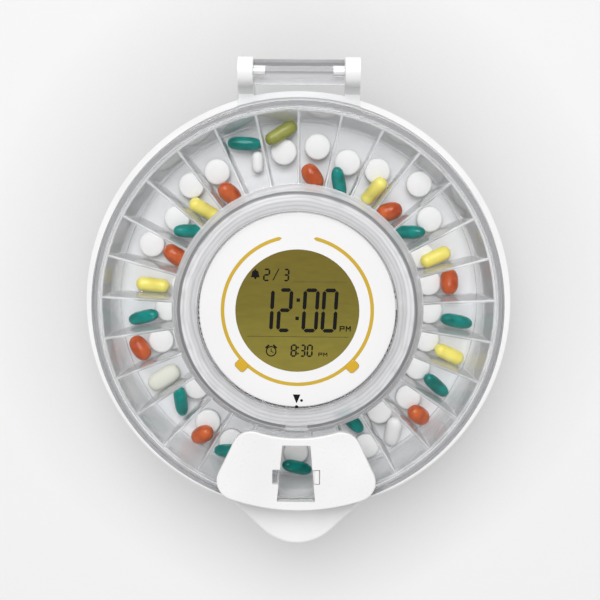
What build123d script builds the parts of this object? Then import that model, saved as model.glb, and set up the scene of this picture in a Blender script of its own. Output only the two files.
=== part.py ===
from build123d import *
from math import acos, ceil, cos, pi, radians, sin, tan
import os

# Automatic pill dispenser: a clear turning tray of compartments in a round base,
# under a clear hinged lid, with a display dial on a hub in the middle.
# Millimetres. +Z up, origin on the resting plane at the tray's axis.
# +Y points to the hinge, -Y to the front tab.

# ---- driving dimensions -------------------------------------------------------
rim_radius = 95.0            # base, outside of the rim
rim_width = 2.7              # flat rim outside the lid
rim_bead = 4.0               # how far the rim stands out over the body wall
rim_height = 4.5             # height of the rim band
shell_draft = 5.0            # how much the body narrows from rim to floor
shell_corner = 16.0          # round between body wall and floor
wall = 2.5                   # base shell
foot_height = 2.5
foot_radius = 6.0
foot_set_in = 10.0           # feet inside the edge of the flat floor
foot_recess = 0.8            # depth of the recess that holds a foot
foot_chamfer = 0.6

machine_space = 21.0         # between shell floor and deck
deck_thickness = 2.5
deck_gap = 0.7               # deck edge to shell wall
wire_hole_radius = 6.0
deck_ledge = 4.0             # width of the ledge that carries the deck

compartments = 29
compartment_depth = 23.0
tray_wall = 1.5
tray_slope = 4.9             # how much the tray's outer wall leans out
divider_thickness = 1.2
runner_radius = 61.0         # ring under the tray that runs on the deck
runner_width = 2.0
runner_height = 1.4

lid_thickness = 2.0
lid_edge_round = 0.8
skirt_wall = 2.5
skirt_reach = 11.0           # skirt height under the top of the lid
collar_width = 8.8           # flat top of the raised collar
collar_slope = 2.6
collar_rise = 4.2
hinge_half_width = 26.3
ear_width = 6.5
ear_radius = 6.5
barrel_radius = 5.5
hinge_pin_radius = 2.0
hinge_pin_reach = 5.0        # how far each stub pin reaches into the barrel
hinge_reach = 8.0            # rim to hinge axis

cover_thickness = 2.8
cover_angle = 25.3           # half of the sector that the cover spans
cover_corner = 9.0
cover_set_out = 2.1          # lid collar to cover
cover_edge_round = 0.8
window_inner_width = 12.6
window_outer_width = 17.2
window_inner_gap = 5.3       # lid collar to window
window_margin = 4.3          # window to the lid's outer edge
window_notch_width = 2.8
window_notch_length = 6.8
window_notch_set_back = 8.1  # notch to the window's outer end
window_catch_gap = 0.4       # slit round the catch in the right notch
tongue_width = 18.0
tongue_thickness = 1.8
tongue_frame = 1.8           # rim round the tongue's slot
tongue_reach = 23.0

tab_reach = 16.4             # front tab beyond the rim
tab_nose_radius = 22.5
tab_flank_angle = 45.0
tab_height = 16.0
tab_edge_round = 1.5
lock_radius = 4.5
lock_plug_radius = 3.0
lock_set_back = 10.5         # lock axis behind the tab's nose
cam_width = 3.0
cam_thickness = 2.0
keyway_width = 1.0
keyway_length = 4.0

hub_radius = 43.1
hub_wall = 2.5
dial_thickness = 2.0
dial_rise = 2.0              # dial top over the lid's flat top
dial_edge_round = 0.6
dial_border = 16.0           # ring of the dial outside the display
display_thickness = 1.5
display_lip = 1.5
glass_lap = 2.4              # glass beyond the display
glass_thickness = 2.4
board_gap = 2.6              # board to hub wall
board_thickness = 1.6
board_drop = 6.5             # dial underside to board top
dial_post_set_in = 9.1       # dial rim to the posts' axes
dial_post_radius = 2.5
button_set_in = 8.5          # dial rim to the buttons' middles
button_width = 5.2
button_depth = 4.5
button_corner = 1.4
button_edge_round = 0.4
button_rise = 0.6
button_travel = 0.8
button_flange = 1.0
button_stem_radius = 1.6
switch_size = 6.0
switch_height = 3.5
switch_corner = 0.5
buzzer_radius = 6.0
buzzer_height = 5.0
buzzer_hole_radius = 1.0
index_switch_length = 12.8
index_switch_width = 5.8
index_switch_height = 6.5
index_switch_angle = 60.0    # from the front towards +X

module = 0.8                 # tray gear and its pinion
pinion_teeth = 12
gear_rim = 1.1
ring_gear_height = 6.0
fine_module = 0.5            # motor pinion and drive gear
fine_pinion_teeth = 12
fine_gear_teeth = 48
fine_gear_height = 3.0
fine_gear_drop = 1.6         # deck underside to the drive gear
pressure_angle = 20.0
backlash = 0.08
axle_radius = 1.0
motor_radius = 7.7
motor_shaft_radius = 1.0
motor_angle = 60.0           # direction from the gear axle to the motor
bracket_thickness = 1.5
bracket_drop = 1.6           # drive gear underside to bracket
bracket_post_angles = (-60.0, -5.0)   # round the gear axle
bracket_motor_angle = 100.0  # third post, round the motor

cell_radius = 7.25           # AA
cell_length = 50.5
cell_count = 4
cell_pitch = 14.8
cell_nub_radius = 2.75
cell_nub_height = 1.0
contact_space = 2.6          # each end of a cell
contact_thickness = 0.5
bay_wall = 1.6
door_overlap = 2.0
door_slide = 5.0
grip_count = 5
grip_length = 16.0
grip_width = 1.0
grip_pitch = 2.0
grip_depth = 0.5
grip_set_in = 6.0            # door edge to the first grip

screw_radius = 1.25
screw_head_radius = 2.5
screw_head_height = 1.6
screw_length = 9.0
screw_tip_space = 1.0        # hole under the screw's tip
post_radius = 3.2
deck_screw_set_in = 13.2     # deck edge to the screws

# ---- clearances -----------------------------------------------------------------
rim_gap = 1.3                # lid skirt to rim
tray_side_gap = 0.6          # tray to lid skirt
tray_top_gap = 1.0           # tray to lid
lid_hub_gap = 0.8
tray_hub_gap = 2.4
seat_gap = 0.3               # pieces that only rest on each other
running_gap = 0.1
pin_fit = 0.05
tiny = 0.05

# ---- levels ---------------------------------------------------------------------
floor_under = foot_height
floor_top = floor_under + wall
deck_under = floor_top + machine_space
deck_top = deck_under + deck_thickness
runner_under = deck_top + running_gap
tray_floor_under = runner_under + runner_height
tray_floor_top = tray_floor_under + tray_wall
tray_top = tray_floor_top + compartment_depth
lid_under = tray_top + tray_top_gap
lid_top = lid_under + lid_thickness
skirt_under = lid_top - skirt_reach
ledge_top = skirt_under - seat_gap
rim_top = skirt_under + 1.0
collar_top = lid_top + collar_rise
collar_under = collar_top - lid_thickness
dial_top = lid_top + dial_rise
dial_under = dial_top - dial_thickness
board_top = dial_under - board_drop
board_under = board_top - board_thickness
cover_top = lid_top + cover_thickness
hinge_z = lid_top - ear_radius
gear_top = deck_under - fine_gear_drop
gear_under = gear_top - fine_gear_height
bracket_top = gear_under - bracket_drop
bracket_under = bracket_top - bracket_thickness
ring_gear_top = tray_floor_under + ring_gear_height

# ---- radii ----------------------------------------------------------------------
shell_narrowing = shell_draft * (rim_top - deck_under) / (rim_top - rim_height - floor_under)
deck_radius = rim_radius - rim_bead - shell_narrowing - wall - deck_gap
rim_inner = rim_radius - rim_width
body_radius = rim_radius - rim_bead
skirt_outer = rim_inner - rim_gap
skirt_inner = skirt_outer - skirt_wall
tray_outer = skirt_inner - tray_side_gap
tray_inner_top = tray_outer - tray_wall
tray_floor_edge = tray_inner_top - tray_slope
lid_hole = hub_radius + lid_hub_gap
collar_radius = lid_hole + collar_width
collar_foot = collar_radius + collar_slope
hub_inner = hub_radius - hub_wall
display_radius = hub_radius - dial_border
glass_radius = display_radius + glass_lap
board_radius = hub_inner - board_gap
button_circle = hub_radius - button_set_in
dial_post_circle = hub_radius - dial_post_set_in
foot_circle = body_radius - shell_draft - shell_corner - foot_set_in
deck_screw_circle = deck_radius - deck_screw_set_in
hinge_y = rim_radius + hinge_reach
ear_inner = hinge_half_width - ear_width
nose_y = rim_radius + tab_reach
lock_y = nose_y - lock_set_back

ring_teeth = ceil(2 * (hub_radius + tray_hub_gap + module) / module)
ring_pitch = ring_teeth * module / 2
ring_root = ring_pitch + 1.25 * module
tray_bore = ring_root + gear_rim + tray_wall
pinion_pitch = pinion_teeth * module / 2
gear_x = ring_pitch - pinion_pitch
fine_centres = (fine_gear_teeth + fine_pinion_teeth) * fine_module / 2
motor_x = gear_x + fine_centres * cos(radians(motor_angle))
motor_y = fine_centres * sin(radians(motor_angle))

cell_z = floor_top + cell_radius - tiny
bay_half_length = cell_length / 2 + contact_space
bay_half_width = (cell_count * cell_pitch) / 2
bay_top = cell_z + cell_radius + tiny

cover_inner = collar_foot + cover_set_out
window_inner = collar_foot + window_inner_gap
window_outer = skirt_outer - window_margin
tongue_back = skirt_inner + running_gap
tongue_front = tongue_back + tongue_thickness
cam_length = lock_y - tongue_back - running_gap


# ---- helpers --------------------------------------------------------------------
def disc(radius, low, high, x=0, y=0):
    """Round plate or rod standing on Z."""
    return Pos(x, y, low) * extrude(Circle(radius), high - low)


def tube(inner, outer, low, high, x=0, y=0):
    return Pos(x, y, low) * extrude(Circle(outer) - Circle(inner), high - low)


def block(low, high):
    """Box between two corners."""
    middle = [(a + b) / 2 for a, b in zip(low, high)]
    return Pos(*middle) * Box(*[b - a for a, b in zip(low, high)])


def section(points):
    """Closed outline in the XZ plane, radius against height."""
    return Plane.XZ * make_face(Polyline(*points, close=True))


def turned(points):
    return revolve(section(points), Axis.Z)


def polar(radius, angle):
    """Point in plan, angle from -Y towards +X."""
    return (radius * sin(radians(angle)), -radius * cos(radians(angle)))


def rod_x(radius, low, high, y, z):
    """Round bar along X."""
    return Pos(low, y, z) * Rot(0, 90, 0) * extrude(Circle(radius), high - low)


def rounded_slab(width, depth, corner, low, high):
    return Pos(0, 0, low) * extrude(RectangleRounded(width, depth, corner), high - low)


def around(piece, count, start=0.0):
    """The piece repeated about the Z axis."""
    return [Rot(0, 0, start + 360 * i / count) * piece for i in range(count)]


def united(solids):
    total = solids[0]
    for solid in solids[1:]:
        total = total + solid
    return total


def flank_half_angle(radius, pitch, teeth, slack):
    """Half the angle that an involute tooth fills at a radius."""
    base = pitch * cos(radians(pressure_angle))
    at_pitch = pi / (2 * teeth) - slack / (2 * pitch)
    turn = acos(base / max(radius, base))
    turn_pitch = radians(pressure_angle)
    return at_pitch + (tan(turn_pitch) - turn_pitch) - (tan(turn) - turn)


def gear_outline(teeth, size, addendum, phase=0.0):
    """Involute spur gear, one tooth pointing along the phase angle."""
    pitch = teeth * size / 2
    base = pitch * cos(radians(pressure_angle))
    root = pitch - 1.25 * size
    tip = pitch + addendum * size
    middle = (base + tip) / 2
    step = 2 * pi / teeth
    edges = []

    def at(radius, angle):
        return (radius * cos(angle), radius * sin(angle))

    for i in range(teeth):
        centre = radians(phase) + i * step
        low, mid, high = (flank_half_angle(r, pitch, teeth, backlash) for r in (base, middle, tip))
        edges.append(Line(at(root, centre - low), at(base, centre - low)))
        edges.append(ThreePointArc(at(base, centre - low), at(middle, centre - mid), at(tip, centre - high)))
        edges.append(Line(at(tip, centre - high), at(tip, centre + high)))
        edges.append(ThreePointArc(at(tip, centre + high), at(middle, centre + mid), at(base, centre + low)))
        edges.append(Line(at(base, centre + low), at(root, centre + low)))
        edges.append(Line(at(root, centre + low), at(root, centre + step - low)))
    return make_face(Wire(edges))


def ring_gear_outline(addendum):
    """Hole of the internal ring gear, one tooth space pointing along +X."""
    tip = ring_pitch - addendum * module
    step = 2 * pi / ring_teeth
    points = []
    for i in range(ring_teeth):
        centre = i * step
        mouth, bottom = (flank_half_angle(r, ring_pitch, ring_teeth, -backlash) for r in (tip, ring_root))
        for radius, angle in ((tip, -mouth), (ring_root, -bottom), (ring_root, bottom), (tip, mouth)):
            points.append((radius * cos(centre + angle), radius * sin(centre + angle)))
    return make_face(Polyline(*points, close=True))


# ---- base -----------------------------------------------------------------------
def shell_body():
    """Solid outer form of the base, and the hollow inside it."""
    bead_under = rim_top - rim_height
    base_radius = body_radius - shell_draft
    outer = [
        (0, floor_under), (base_radius, floor_under), (body_radius, bead_under - rim_bead / 2),
        (rim_radius, bead_under), (rim_radius, rim_top), (0, rim_top),
    ]
    inner = [
        (0, floor_top), (base_radius - wall, floor_top), (body_radius - wall, bead_under - rim_bead / 2),
        (skirt_inner, ledge_top), (rim_inner, ledge_top), (rim_inner, rim_top + 1), (0, rim_top + 1),
    ]
    solids = []
    for points, radius in ((outer, shell_corner), (inner, shell_corner - wall)):
        face = make_face(Polyline(*points, close=True))
        corner = face.vertices().sort_by(Axis.Y)[:2].sort_by(Axis.X)[-1]
        solids.append(revolve(Plane.XZ * fillet(corner, radius), Axis.Z))
    return solids


def front_tab():
    """Tab with straight flanks and a round nose, tangent to each other."""
    side_y = -rim_inner
    turn = radians(tab_flank_angle)
    nose_x = tab_nose_radius * sin(turn)
    nose_low = -nose_y + tab_nose_radius * (1 - cos(turn))
    half = nose_x + (side_y - nose_low) / tan(turn)
    outline = make_face(Wire([
        Line((-half, -skirt_inner), (-half, side_y)),
        Line((-half, side_y), (-nose_x, nose_low)),
        ThreePointArc((-nose_x, nose_low), (0, -nose_y), (nose_x, nose_low)),
        Line((nose_x, nose_low), (half, side_y)),
        Line((half, side_y), (half, -skirt_inner)),
        Line((half, -skirt_inner), (-half, -skirt_inner)),
    ]))
    tab = extrude(Pos(0, 0, rim_top - tab_height) * outline, tab_height, dir=(0, 0, 1))
    front = [edges.filter_by(lambda e: e.center().Y < side_y - 1)
             for edges in (tab.edges().group_by(Axis.Z)[0], tab.edges().group_by(Axis.Z)[-1])]
    return fillet(front[0] + front[1], tab_edge_round)


def hinge_ears():
    web = [
        (body_radius - wall, deck_top), (body_radius, deck_top),
        (hinge_y + ear_radius * 0.8, hinge_z - ear_radius * 0.6), (hinge_y, hinge_z),
        (hinge_y - ear_radius, hinge_z), (rim_radius - rim_width / 2, rim_top), (body_radius - wall, rim_top),
    ]
    ears = []
    for side in (-1, 1):
        low = min(side * ear_inner, side * hinge_half_width)
        profile = Plane.YZ * make_face(Polyline(*web, close=True))
        ear = Pos(low, 0, 0) * extrude(profile, ear_width)
        ears.append(ear + rod_x(ear_radius, low, low + ear_width, hinge_y, hinge_z))
    return ears


def base_shell():
    outer, inner = shell_body()
    shell = outer
    for extra in [front_tab()] + hinge_ears():
        shell = shell + extra
    shell = shell - inner
    ledge = tube(deck_radius - deck_ledge, body_radius - wall / 2, deck_under - wall, deck_under)
    posts = united([disc(post_radius, floor_under + wall / 2, deck_under, *place)
                    for place in deck_screw_places()])
    bay = block((-bay_half_length - bay_wall, -bay_half_width - bay_wall, floor_top - tiny),
                (bay_half_length + bay_wall, bay_half_width + bay_wall, bay_top + bay_wall))
    bay -= block((-bay_half_length, -bay_half_width, 0), (bay_half_length, bay_half_width, bay_top))
    shell = shell + (ledge & outer) + posts + bay
    # battery opening, with a rebate and a pocket for the sliding door
    shell -= block((-door_half_x() + door_overlap, -door_half_y() + door_overlap, 0),
                   (door_half_x() - door_overlap, door_half_y() - door_overlap, floor_top + tiny))
    rebate_top = door_top() + running_gap
    shell -= block((-door_half_x() - seat_gap, -door_half_y() - seat_gap, 0),
                   (door_half_x() + seat_gap, door_half_y() + door_slide + seat_gap, rebate_top))
    for place in foot_places():
        shell -= disc(foot_radius + tiny, floor_under - 1, floor_under + foot_recess, *place)
    for place in deck_screw_places():
        shell -= disc(screw_radius, deck_top - screw_length, deck_top, *place)
    shell -= rod_x(hinge_pin_radius + tiny / 2, -pin_end(), pin_end(), hinge_y, hinge_z)
    # lock: bore from below, and a pocket for the cam and the cover's tongue
    cam_space_under = cam_under() - running_gap
    cam_space_top = cam_under() + cam_thickness + seat_gap
    shell -= disc(lock_radius + tiny, rim_top - tab_height - 1, cam_space_under, 0, -lock_y)
    shell -= disc(lock_plug_radius + seat_gap, cam_space_under, cam_space_top, 0, -lock_y)
    shell -= block((-lock_plug_radius - seat_gap, -lock_y - cam_width / 2 - seat_gap, cam_space_under),
                   (cam_length + seat_gap, -tongue_front - rim_gap + tiny, cam_space_top))
    half = tongue_width / 2 + seat_gap
    shell -= block((-half, -tongue_front - rim_gap, tongue_under() - rim_gap),
                   (half, -skirt_inner + wall, rim_top + 1))
    return shell


def deck_screw_places():
    return [polar(deck_screw_circle, 30 + 60 * i) for i in range(6)]


def foot_places():
    return [polar(foot_circle, 45 + 90 * i) for i in range(4)]


def door_half_x():
    return bay_half_length + door_overlap


def door_half_y():
    return bay_half_width + door_overlap


def door_top():
    return floor_under + wall / 2


def pin_end():
    """Outer end of a stub pin, inside its ear."""
    return hinge_half_width - ear_width / 3


def tongue_under():
    return lid_top - tongue_reach + cover_thickness


def cam_under():
    return rim_top - wall - rim_gap - cam_thickness


def inner_deck():
    deck = disc(deck_radius, deck_under, deck_top)
    # rib that keeps the tray's runner centred
    deck += tube(runner_radius - runner_width * 2 - seat_gap, runner_radius - runner_width / 2 - seat_gap,
                 deck_top, deck_top + runner_height * 0.7)
    deck -= disc(wire_hole_radius, 0, deck_top + 1)
    deck -= disc(pinion_pitch + module + seat_gap, 0, deck_top + 1, gear_x)
    for x, y in deck_screw_places():
        deck -= disc(screw_radius + pin_fit, 0, deck_top + 1, x, y)
        deck -= disc(screw_head_radius + pin_fit, deck_top - screw_head_height, deck_top + 1, x, y)
    for x, y in hub_screw_places():
        deck -= disc(screw_radius, 0, deck_top + 1, x, y)
    slot_x, slot_y = switch_place()
    deck -= disc(screw_radius + seat_gap, 0, deck_top + 1, slot_x, slot_y)
    return deck


def hub_screw_places():
    return [polar(hub_inner - 1.5 * hub_wall, 45 + 90 * i) for i in range(4)]


def switch_place():
    return polar(runner_radius, index_switch_angle)


def hub_tower():
    flange_top = deck_top + deck_thickness
    hub = tube(hub_inner, hub_radius, deck_top, dial_under)
    hub += tube(hub_inner - 3 * hub_wall, hub_inner, deck_top, flange_top)
    # boss that holds the top end of the gear axle
    boss = disc(3 * axle_radius, ring_gear_top + module, ring_gear_top + module + axle_seat(), gear_x)
    hub += boss & disc(hub_radius, deck_top, dial_under)
    pinion_space = pinion_pitch + module + seat_gap
    hub -= disc(pinion_space, deck_top - 1, ring_gear_top + module, gear_x)
    axle_hole_top = ring_gear_top + module + axle_seat() - hub_wall / 2
    hub -= disc(axle_radius + tiny / 2, deck_top, axle_hole_top, gear_x)
    for x, y in hub_screw_places():
        hub -= disc(screw_radius + pin_fit, 0, dial_under, x, y)
    return hub


def axle_seat():
    return 4 * axle_radius


def gear_bracket():
    """Plate under the drive gear that carries the axle and the motor, hung from the deck by three posts."""
    places = bracket_post_places()
    outline = make_hull([Circle(post_radius).edge().moved(Location((x, y, 0))) for x, y in places]
                        + [Circle(post_radius).edge().moved(Location((gear_x, 0, 0)))])
    plate = extrude(Pos(0, 0, bracket_under) * outline, bracket_thickness)
    for x, y in places:
        plate += disc(post_radius, bracket_under, deck_under, x, y)
    plate += disc(2.5 * axle_radius, bracket_under - bracket_thickness, bracket_top, gear_x)
    plate -= disc(axle_radius + tiny / 2, bracket_under - bracket_thickness / 2, bracket_top + 1, gear_x)
    plate -= disc(motor_radius / 3 + tiny, bracket_under - 1, bracket_top + 1, motor_x, motor_y)
    return plate


def bracket_post_places():
    """Clear of the drive gear and of the motor pinion."""
    reach = fine_gear_teeth * fine_module / 2 + fine_module + post_radius + seat_gap
    pinion_reach = fine_pinion_teeth * fine_module / 2 + motor_radius / 3 + post_radius
    places = [(gear_x + reach * cos(radians(a)), reach * sin(radians(a))) for a in bracket_post_angles]
    turn = radians(bracket_motor_angle)
    places.append((motor_x + pinion_reach * cos(turn), motor_y + pinion_reach * sin(turn)))
    return places


def compound_gear():
    """Drive gear under the deck and tray pinion over it, moulded as one."""
    pinion_low = tray_floor_under
    outline = gear_outline(fine_gear_teeth, fine_module, 1.0)
    gear = Pos(gear_x, 0, gear_under) * extrude(outline, fine_gear_height)
    root = pinion_pitch - 1.25 * module
    gear += disc(root, gear_under, pinion_low, gear_x)
    gear += Pos(gear_x, 0, pinion_low) * extrude(gear_outline(pinion_teeth, module, 0.8), ring_gear_height)
    gear += disc(2.2 * axle_radius, bracket_top + running_gap, gear_under, gear_x)
    return gear - disc(axle_radius + pin_fit, 0, dial_under, gear_x)


def gear_axle():
    top = ring_gear_top + module + axle_seat() - hub_wall / 2 - running_gap
    return disc(axle_radius, bracket_under - bracket_thickness / 2, top, gear_x)


def motor():
    body = disc(motor_radius, motor_under(), bracket_under, motor_x, motor_y)
    nose = disc(motor_radius / 3, bracket_under, bracket_top, motor_x, motor_y)
    shaft = disc(motor_shaft_radius, bracket_under, gear_top, motor_x, motor_y)
    flats = block((motor_x - motor_radius, motor_y - motor_radius, motor_under() - 1),
                  (motor_x + motor_radius, motor_y + motor_radius, bracket_under))
    flats -= block((motor_x - motor_radius, motor_y - motor_radius * 0.8, motor_under() - 1),
                   (motor_x + motor_radius, motor_y + motor_radius * 0.8, bracket_under))
    return body - flats + nose + shaft


def motor_under():
    return floor_top + seat_gap


def motor_pinion():
    phase = 180.0 / fine_pinion_teeth
    wheel = extrude(gear_outline(fine_pinion_teeth, fine_module, 1.0, phase), fine_gear_height)
    wheel = Pos(motor_x, motor_y, gear_under) * wheel
    return wheel - disc(motor_shaft_radius + pin_fit, 0, deck_under, motor_x, motor_y)


def index_switch():
    x, y = switch_place()
    body = Box(index_switch_length, index_switch_width, index_switch_height)
    body = Pos(x, y, deck_under - index_switch_height / 2) * Rot(0, 0, index_switch_angle) * body
    return body + disc(screw_radius, deck_under, deck_top - running_gap, x, y)


def rubber_foot(place):
    foot = disc(foot_radius, 0, floor_under + foot_recess, *place)
    return chamfer(foot.edges().group_by(Axis.Z)[0], foot_chamfer)


def battery_door():
    door = block((-door_half_x(), -door_half_y(), floor_under), (door_half_x(), door_half_y(), door_top()))
    plate_y = bay_half_width - seat_gap
    door += block((-bay_half_length + seat_gap, -plate_y, door_top()),
                  (bay_half_length - seat_gap, plate_y - door_slide, floor_top - running_gap))
    for i in range(grip_count):
        grip_y = -door_half_y() + grip_set_in + grip_pitch * i
        door -= block((-grip_length / 2, grip_y, 0),
                      (grip_length / 2, grip_y + grip_width, floor_under + grip_depth))
    return door


def cell_row(i):
    """Height of the row across the bay, and the way the cell points."""
    return (i - (cell_count - 1) / 2) * cell_pitch, 1 if i % 2 else -1


def battery_cell(i):
    y, way = cell_row(i)
    cell = rod_x(cell_radius, -cell_length / 2, cell_length / 2 - cell_nub_height, y, cell_z)
    cell += rod_x(cell_nub_radius, 0, cell_length / 2, y, cell_z)
    return cell if way > 0 else Pos(0, 2 * y, 0) * Rot(0, 0, 180) * cell


def battery_contacts():
    """Spring at the flat end and plate at the nub end of each cell."""
    solids = []
    for i in range(cell_count):
        y, way = cell_row(i)
        for end in (-1, 1):
            wall_x = end * bay_half_length
            low, high = sorted((wall_x, wall_x - end * contact_thickness))
            half = cell_radius * 0.8
            solids.append(block((low, y - half, cell_z - half), (high, y + half, cell_z + half)))
            if end * way > 0:
                reach = end * (cell_length / 2)
                low, high = sorted((reach, wall_x - end * contact_thickness))
                solids.append(rod_x(cell_nub_radius * 0.8, low, high, y, cell_z))
            else:
                rise = contact_space - contact_thickness
                cone = turned([(0, 0), (cell_radius * 0.7, 0), (cell_radius * 0.35, rise), (0, rise)])
                turn = Rot(0, -90, 0) if end > 0 else Rot(0, 90, 0)
                solids.append(Pos(wall_x - end * contact_thickness, y, cell_z) * turn * cone)
    return group(solids)


def screw(x, y, under, head_under, head_up=True):
    """Pan head screw standing on Z, head at the top or at the foot."""
    if head_up:
        return disc(screw_radius, under, head_under, x, y) + disc(
            screw_head_radius, head_under, head_under + screw_head_height, x, y)
    return disc(screw_radius, head_under, under, x, y) + disc(
        screw_head_radius, head_under - screw_head_height, head_under, x, y)


def group(solids):
    return Compound(children=[s.solid() for s in solids])


# ---- dial and electronics ---------------------------------------------------------
def button_places():
    return {"left": polar(button_circle, -45), "right": polar(button_circle, 45)}


def dial_post_places():
    return [polar(dial_post_circle, 90 * i) for i in range(4)]


def button_slab(grow, low, high, side):
    """Rounded button outline, square to the dial's rim."""
    turn = 45 if side == "right" else -45
    slab = rounded_slab(button_width + 2 * grow, button_depth + 2 * grow, button_corner + grow, low, high)
    return Pos(*button_places()[side], 0) * Rot(0, 0, turn) * slab


def dial_face():
    dial = disc(hub_radius, dial_under, dial_top)
    dial = fillet(dial.edges().group_by(Axis.Z)[-1], dial_edge_round)
    dial -= disc(display_radius - display_lip, dial_under - 1, dial_top + 1)
    dial -= disc(display_radius + tiny, dial_top - display_thickness, dial_top + 1)
    for side in button_places():
        dial -= button_slab(running_gap, dial_under - 1, dial_top + 1, side)
    for x, y in dial_post_places():
        dial += disc(dial_post_radius, board_top, dial_under, x, y)
        dial -= disc(screw_radius, board_top - 1, board_top + screw_length / 2, x, y)
    spigot = tube(hub_inner - wall, hub_inner - running_gap, dial_under - wall, dial_under)
    return dial + spigot


def display_window():
    return disc(display_radius, dial_top - display_thickness, dial_top)


def display_glass():
    return disc(glass_radius, dial_under - running_gap - glass_thickness, dial_under - running_gap)


def glass_holder():
    glass_under = dial_under - running_gap - glass_thickness
    return tube(glass_radius - 3 * wall, glass_radius, board_top, glass_under)


def circuit_board():
    board = disc(board_radius, board_under, board_top)
    for x, y in dial_post_places():
        board -= disc(screw_radius + pin_fit, 0, dial_under, x, y)
    return board


def tact_switch(side):
    place = button_places()[side]
    body = rounded_slab(switch_size, switch_size, switch_corner, board_top, board_top + switch_height)
    body -= disc(button_stem_radius + running_gap, board_top + switch_height - 2 * button_travel, dial_top)
    return Pos(*place, 0) * Rot(0, 0, 45) * body


def button(side):
    """Cap, flange under the dial, and stem into its switch."""
    flange_top = dial_under - running_gap
    cap = button_slab(0, flange_top, dial_top + button_rise, side)
    cap = fillet(cap.edges().group_by(Axis.Z)[-1], button_edge_round)
    flange = button_slab(running_gap * 6, flange_top - button_flange, flange_top, side)
    stem_under = board_top + switch_height - button_travel / 2
    stem = disc(button_stem_radius, stem_under, flange_top, *button_places()[side])
    return cap + flange + stem


def buzzer():
    place = (0, board_radius / 2)
    can = disc(buzzer_radius, board_under - buzzer_height, board_under, *place)
    hole = disc(buzzer_hole_radius, board_under - 2 * buzzer_height, board_under - buzzer_height / 2, *place)
    return can - hole


# ---- tray -------------------------------------------------------------------------
def tray_floor():
    floor = tube(tray_bore, tray_floor_edge + tray_wall, tray_floor_under, tray_floor_top)
    return floor + tube(runner_radius - runner_width / 2, runner_radius + runner_width / 2,
                        runner_under, tray_floor_under)


def tray_inner_wall():
    return tube(tray_bore - tray_wall, tray_bore, tray_floor_under, tray_top)


def tray_outer_wall():
    return turned([(tray_floor_edge, tray_floor_top), (tray_floor_edge + tray_wall, tray_floor_top),
                   (tray_outer, tray_top), (tray_inner_top, tray_top)])


def tray_dividers():
    """One wall stands at 12 o'clock, so a compartment faces the window at 6 o'clock."""
    profile = Plane.XZ * make_face(Polyline(
        (tray_bore + tiny, tray_floor_top), (tray_floor_edge - tiny, tray_floor_top),
        (tray_inner_top - tiny, tray_top), (tray_bore + tiny, tray_top), close=True))
    divider = Pos(0, divider_thickness / 2, 0) * extrude(profile, divider_thickness, dir=(0, -1, 0))
    return group(around(divider, compartments, 90))


def ring_gear():
    """Internal gear pressed into the foot of the tray's inner wall."""
    rim = extrude(Circle(tray_bore - tray_wall) - ring_gear_outline(0.8), ring_gear_height)
    return Pos(0, 0, tray_floor_under) * rim


# ---- lid --------------------------------------------------------------------------
def window_outline(inner, outer, low, high):
    """Window over one compartment, narrower at the dial side."""
    slope = (window_outer_width - window_inner_width) / (window_outer - window_inner)

    def half(radius):
        return (window_inner_width + slope * (radius - window_inner)) / 2

    face = make_face(Polyline((-half(outer), -outer), (half(outer), -outer), (half(inner), -inner),
                              (-half(inner), -inner), close=True))
    return extrude(Pos(0, 0, low) * face, high - low, dir=(0, 0, 1))


def lid_plate():
    """Flat ring of the lid, with the window over one compartment."""
    plate = tube(collar_foot, skirt_outer, lid_under, lid_top)
    plate = fillet(plate.edges().group_by(Axis.Z)[-1].sort_by(SortBy.RADIUS)[-1], lid_edge_round)
    plate -= window_outline(window_inner, window_outer, lid_under - 1, lid_top + 1)
    return plate - tongue_notch(skirt_inner)


def tongue_notch(depth_radius):
    """Cut in the lid's edge and skirt where the cover's tongue passes."""
    half = tongue_width / 2 + seat_gap
    return block((-half, -skirt_outer - 1, skirt_under - 1), (half, -depth_radius, lid_top + 1))


def lid_hinge():
    """Flange and barrel at the back of the lid."""
    flange_y = hinge_y - ear_radius + 2 * seat_gap
    barrel_half = ear_inner - seat_gap
    hinge = block((-hinge_half_width, 0, lid_under), (hinge_half_width, flange_y, lid_top))
    hinge += block((-barrel_half, 0, lid_under), (barrel_half, hinge_y, lid_top))
    hinge -= disc(skirt_outer, lid_under - 1, lid_top + 1)
    hinge += rod_x(barrel_radius, -barrel_half, barrel_half, hinge_y, hinge_z)
    bore_end = ear_inner - hinge_pin_reach - seat_gap
    for low, high in ((-barrel_half - 1, -bore_end), (bore_end, barrel_half + 1)):
        hinge -= rod_x(hinge_pin_radius + pin_fit, low, high, hinge_y, hinge_z)
    return hinge


def lid_skirt():
    return tube(skirt_inner, skirt_outer, skirt_under, lid_under) - tongue_notch(skirt_inner - wall)


def lid_collar():
    """Raised ring round the dial, and its sloping foot on the flat ring."""
    rise = lid_thickness * collar_slope / collar_rise
    collar = turned([
        (lid_hole, collar_under), (collar_radius - rise, collar_under),
        (collar_foot - lid_thickness, lid_under), (collar_foot, lid_under),
        (collar_foot, lid_top), (collar_radius, collar_top), (lid_hole, collar_top),
    ])
    collar = fillet(collar.edges().group_by(Axis.Z)[-1], lid_edge_round / 2)
    lug = block((-lid_thickness * 2.4, -collar_radius - 0.5, collar_top - 0.5),
                (lid_thickness * 2.4, -collar_radius + 1.8 * lid_thickness, collar_top + 0.5))
    return collar + lug


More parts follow.
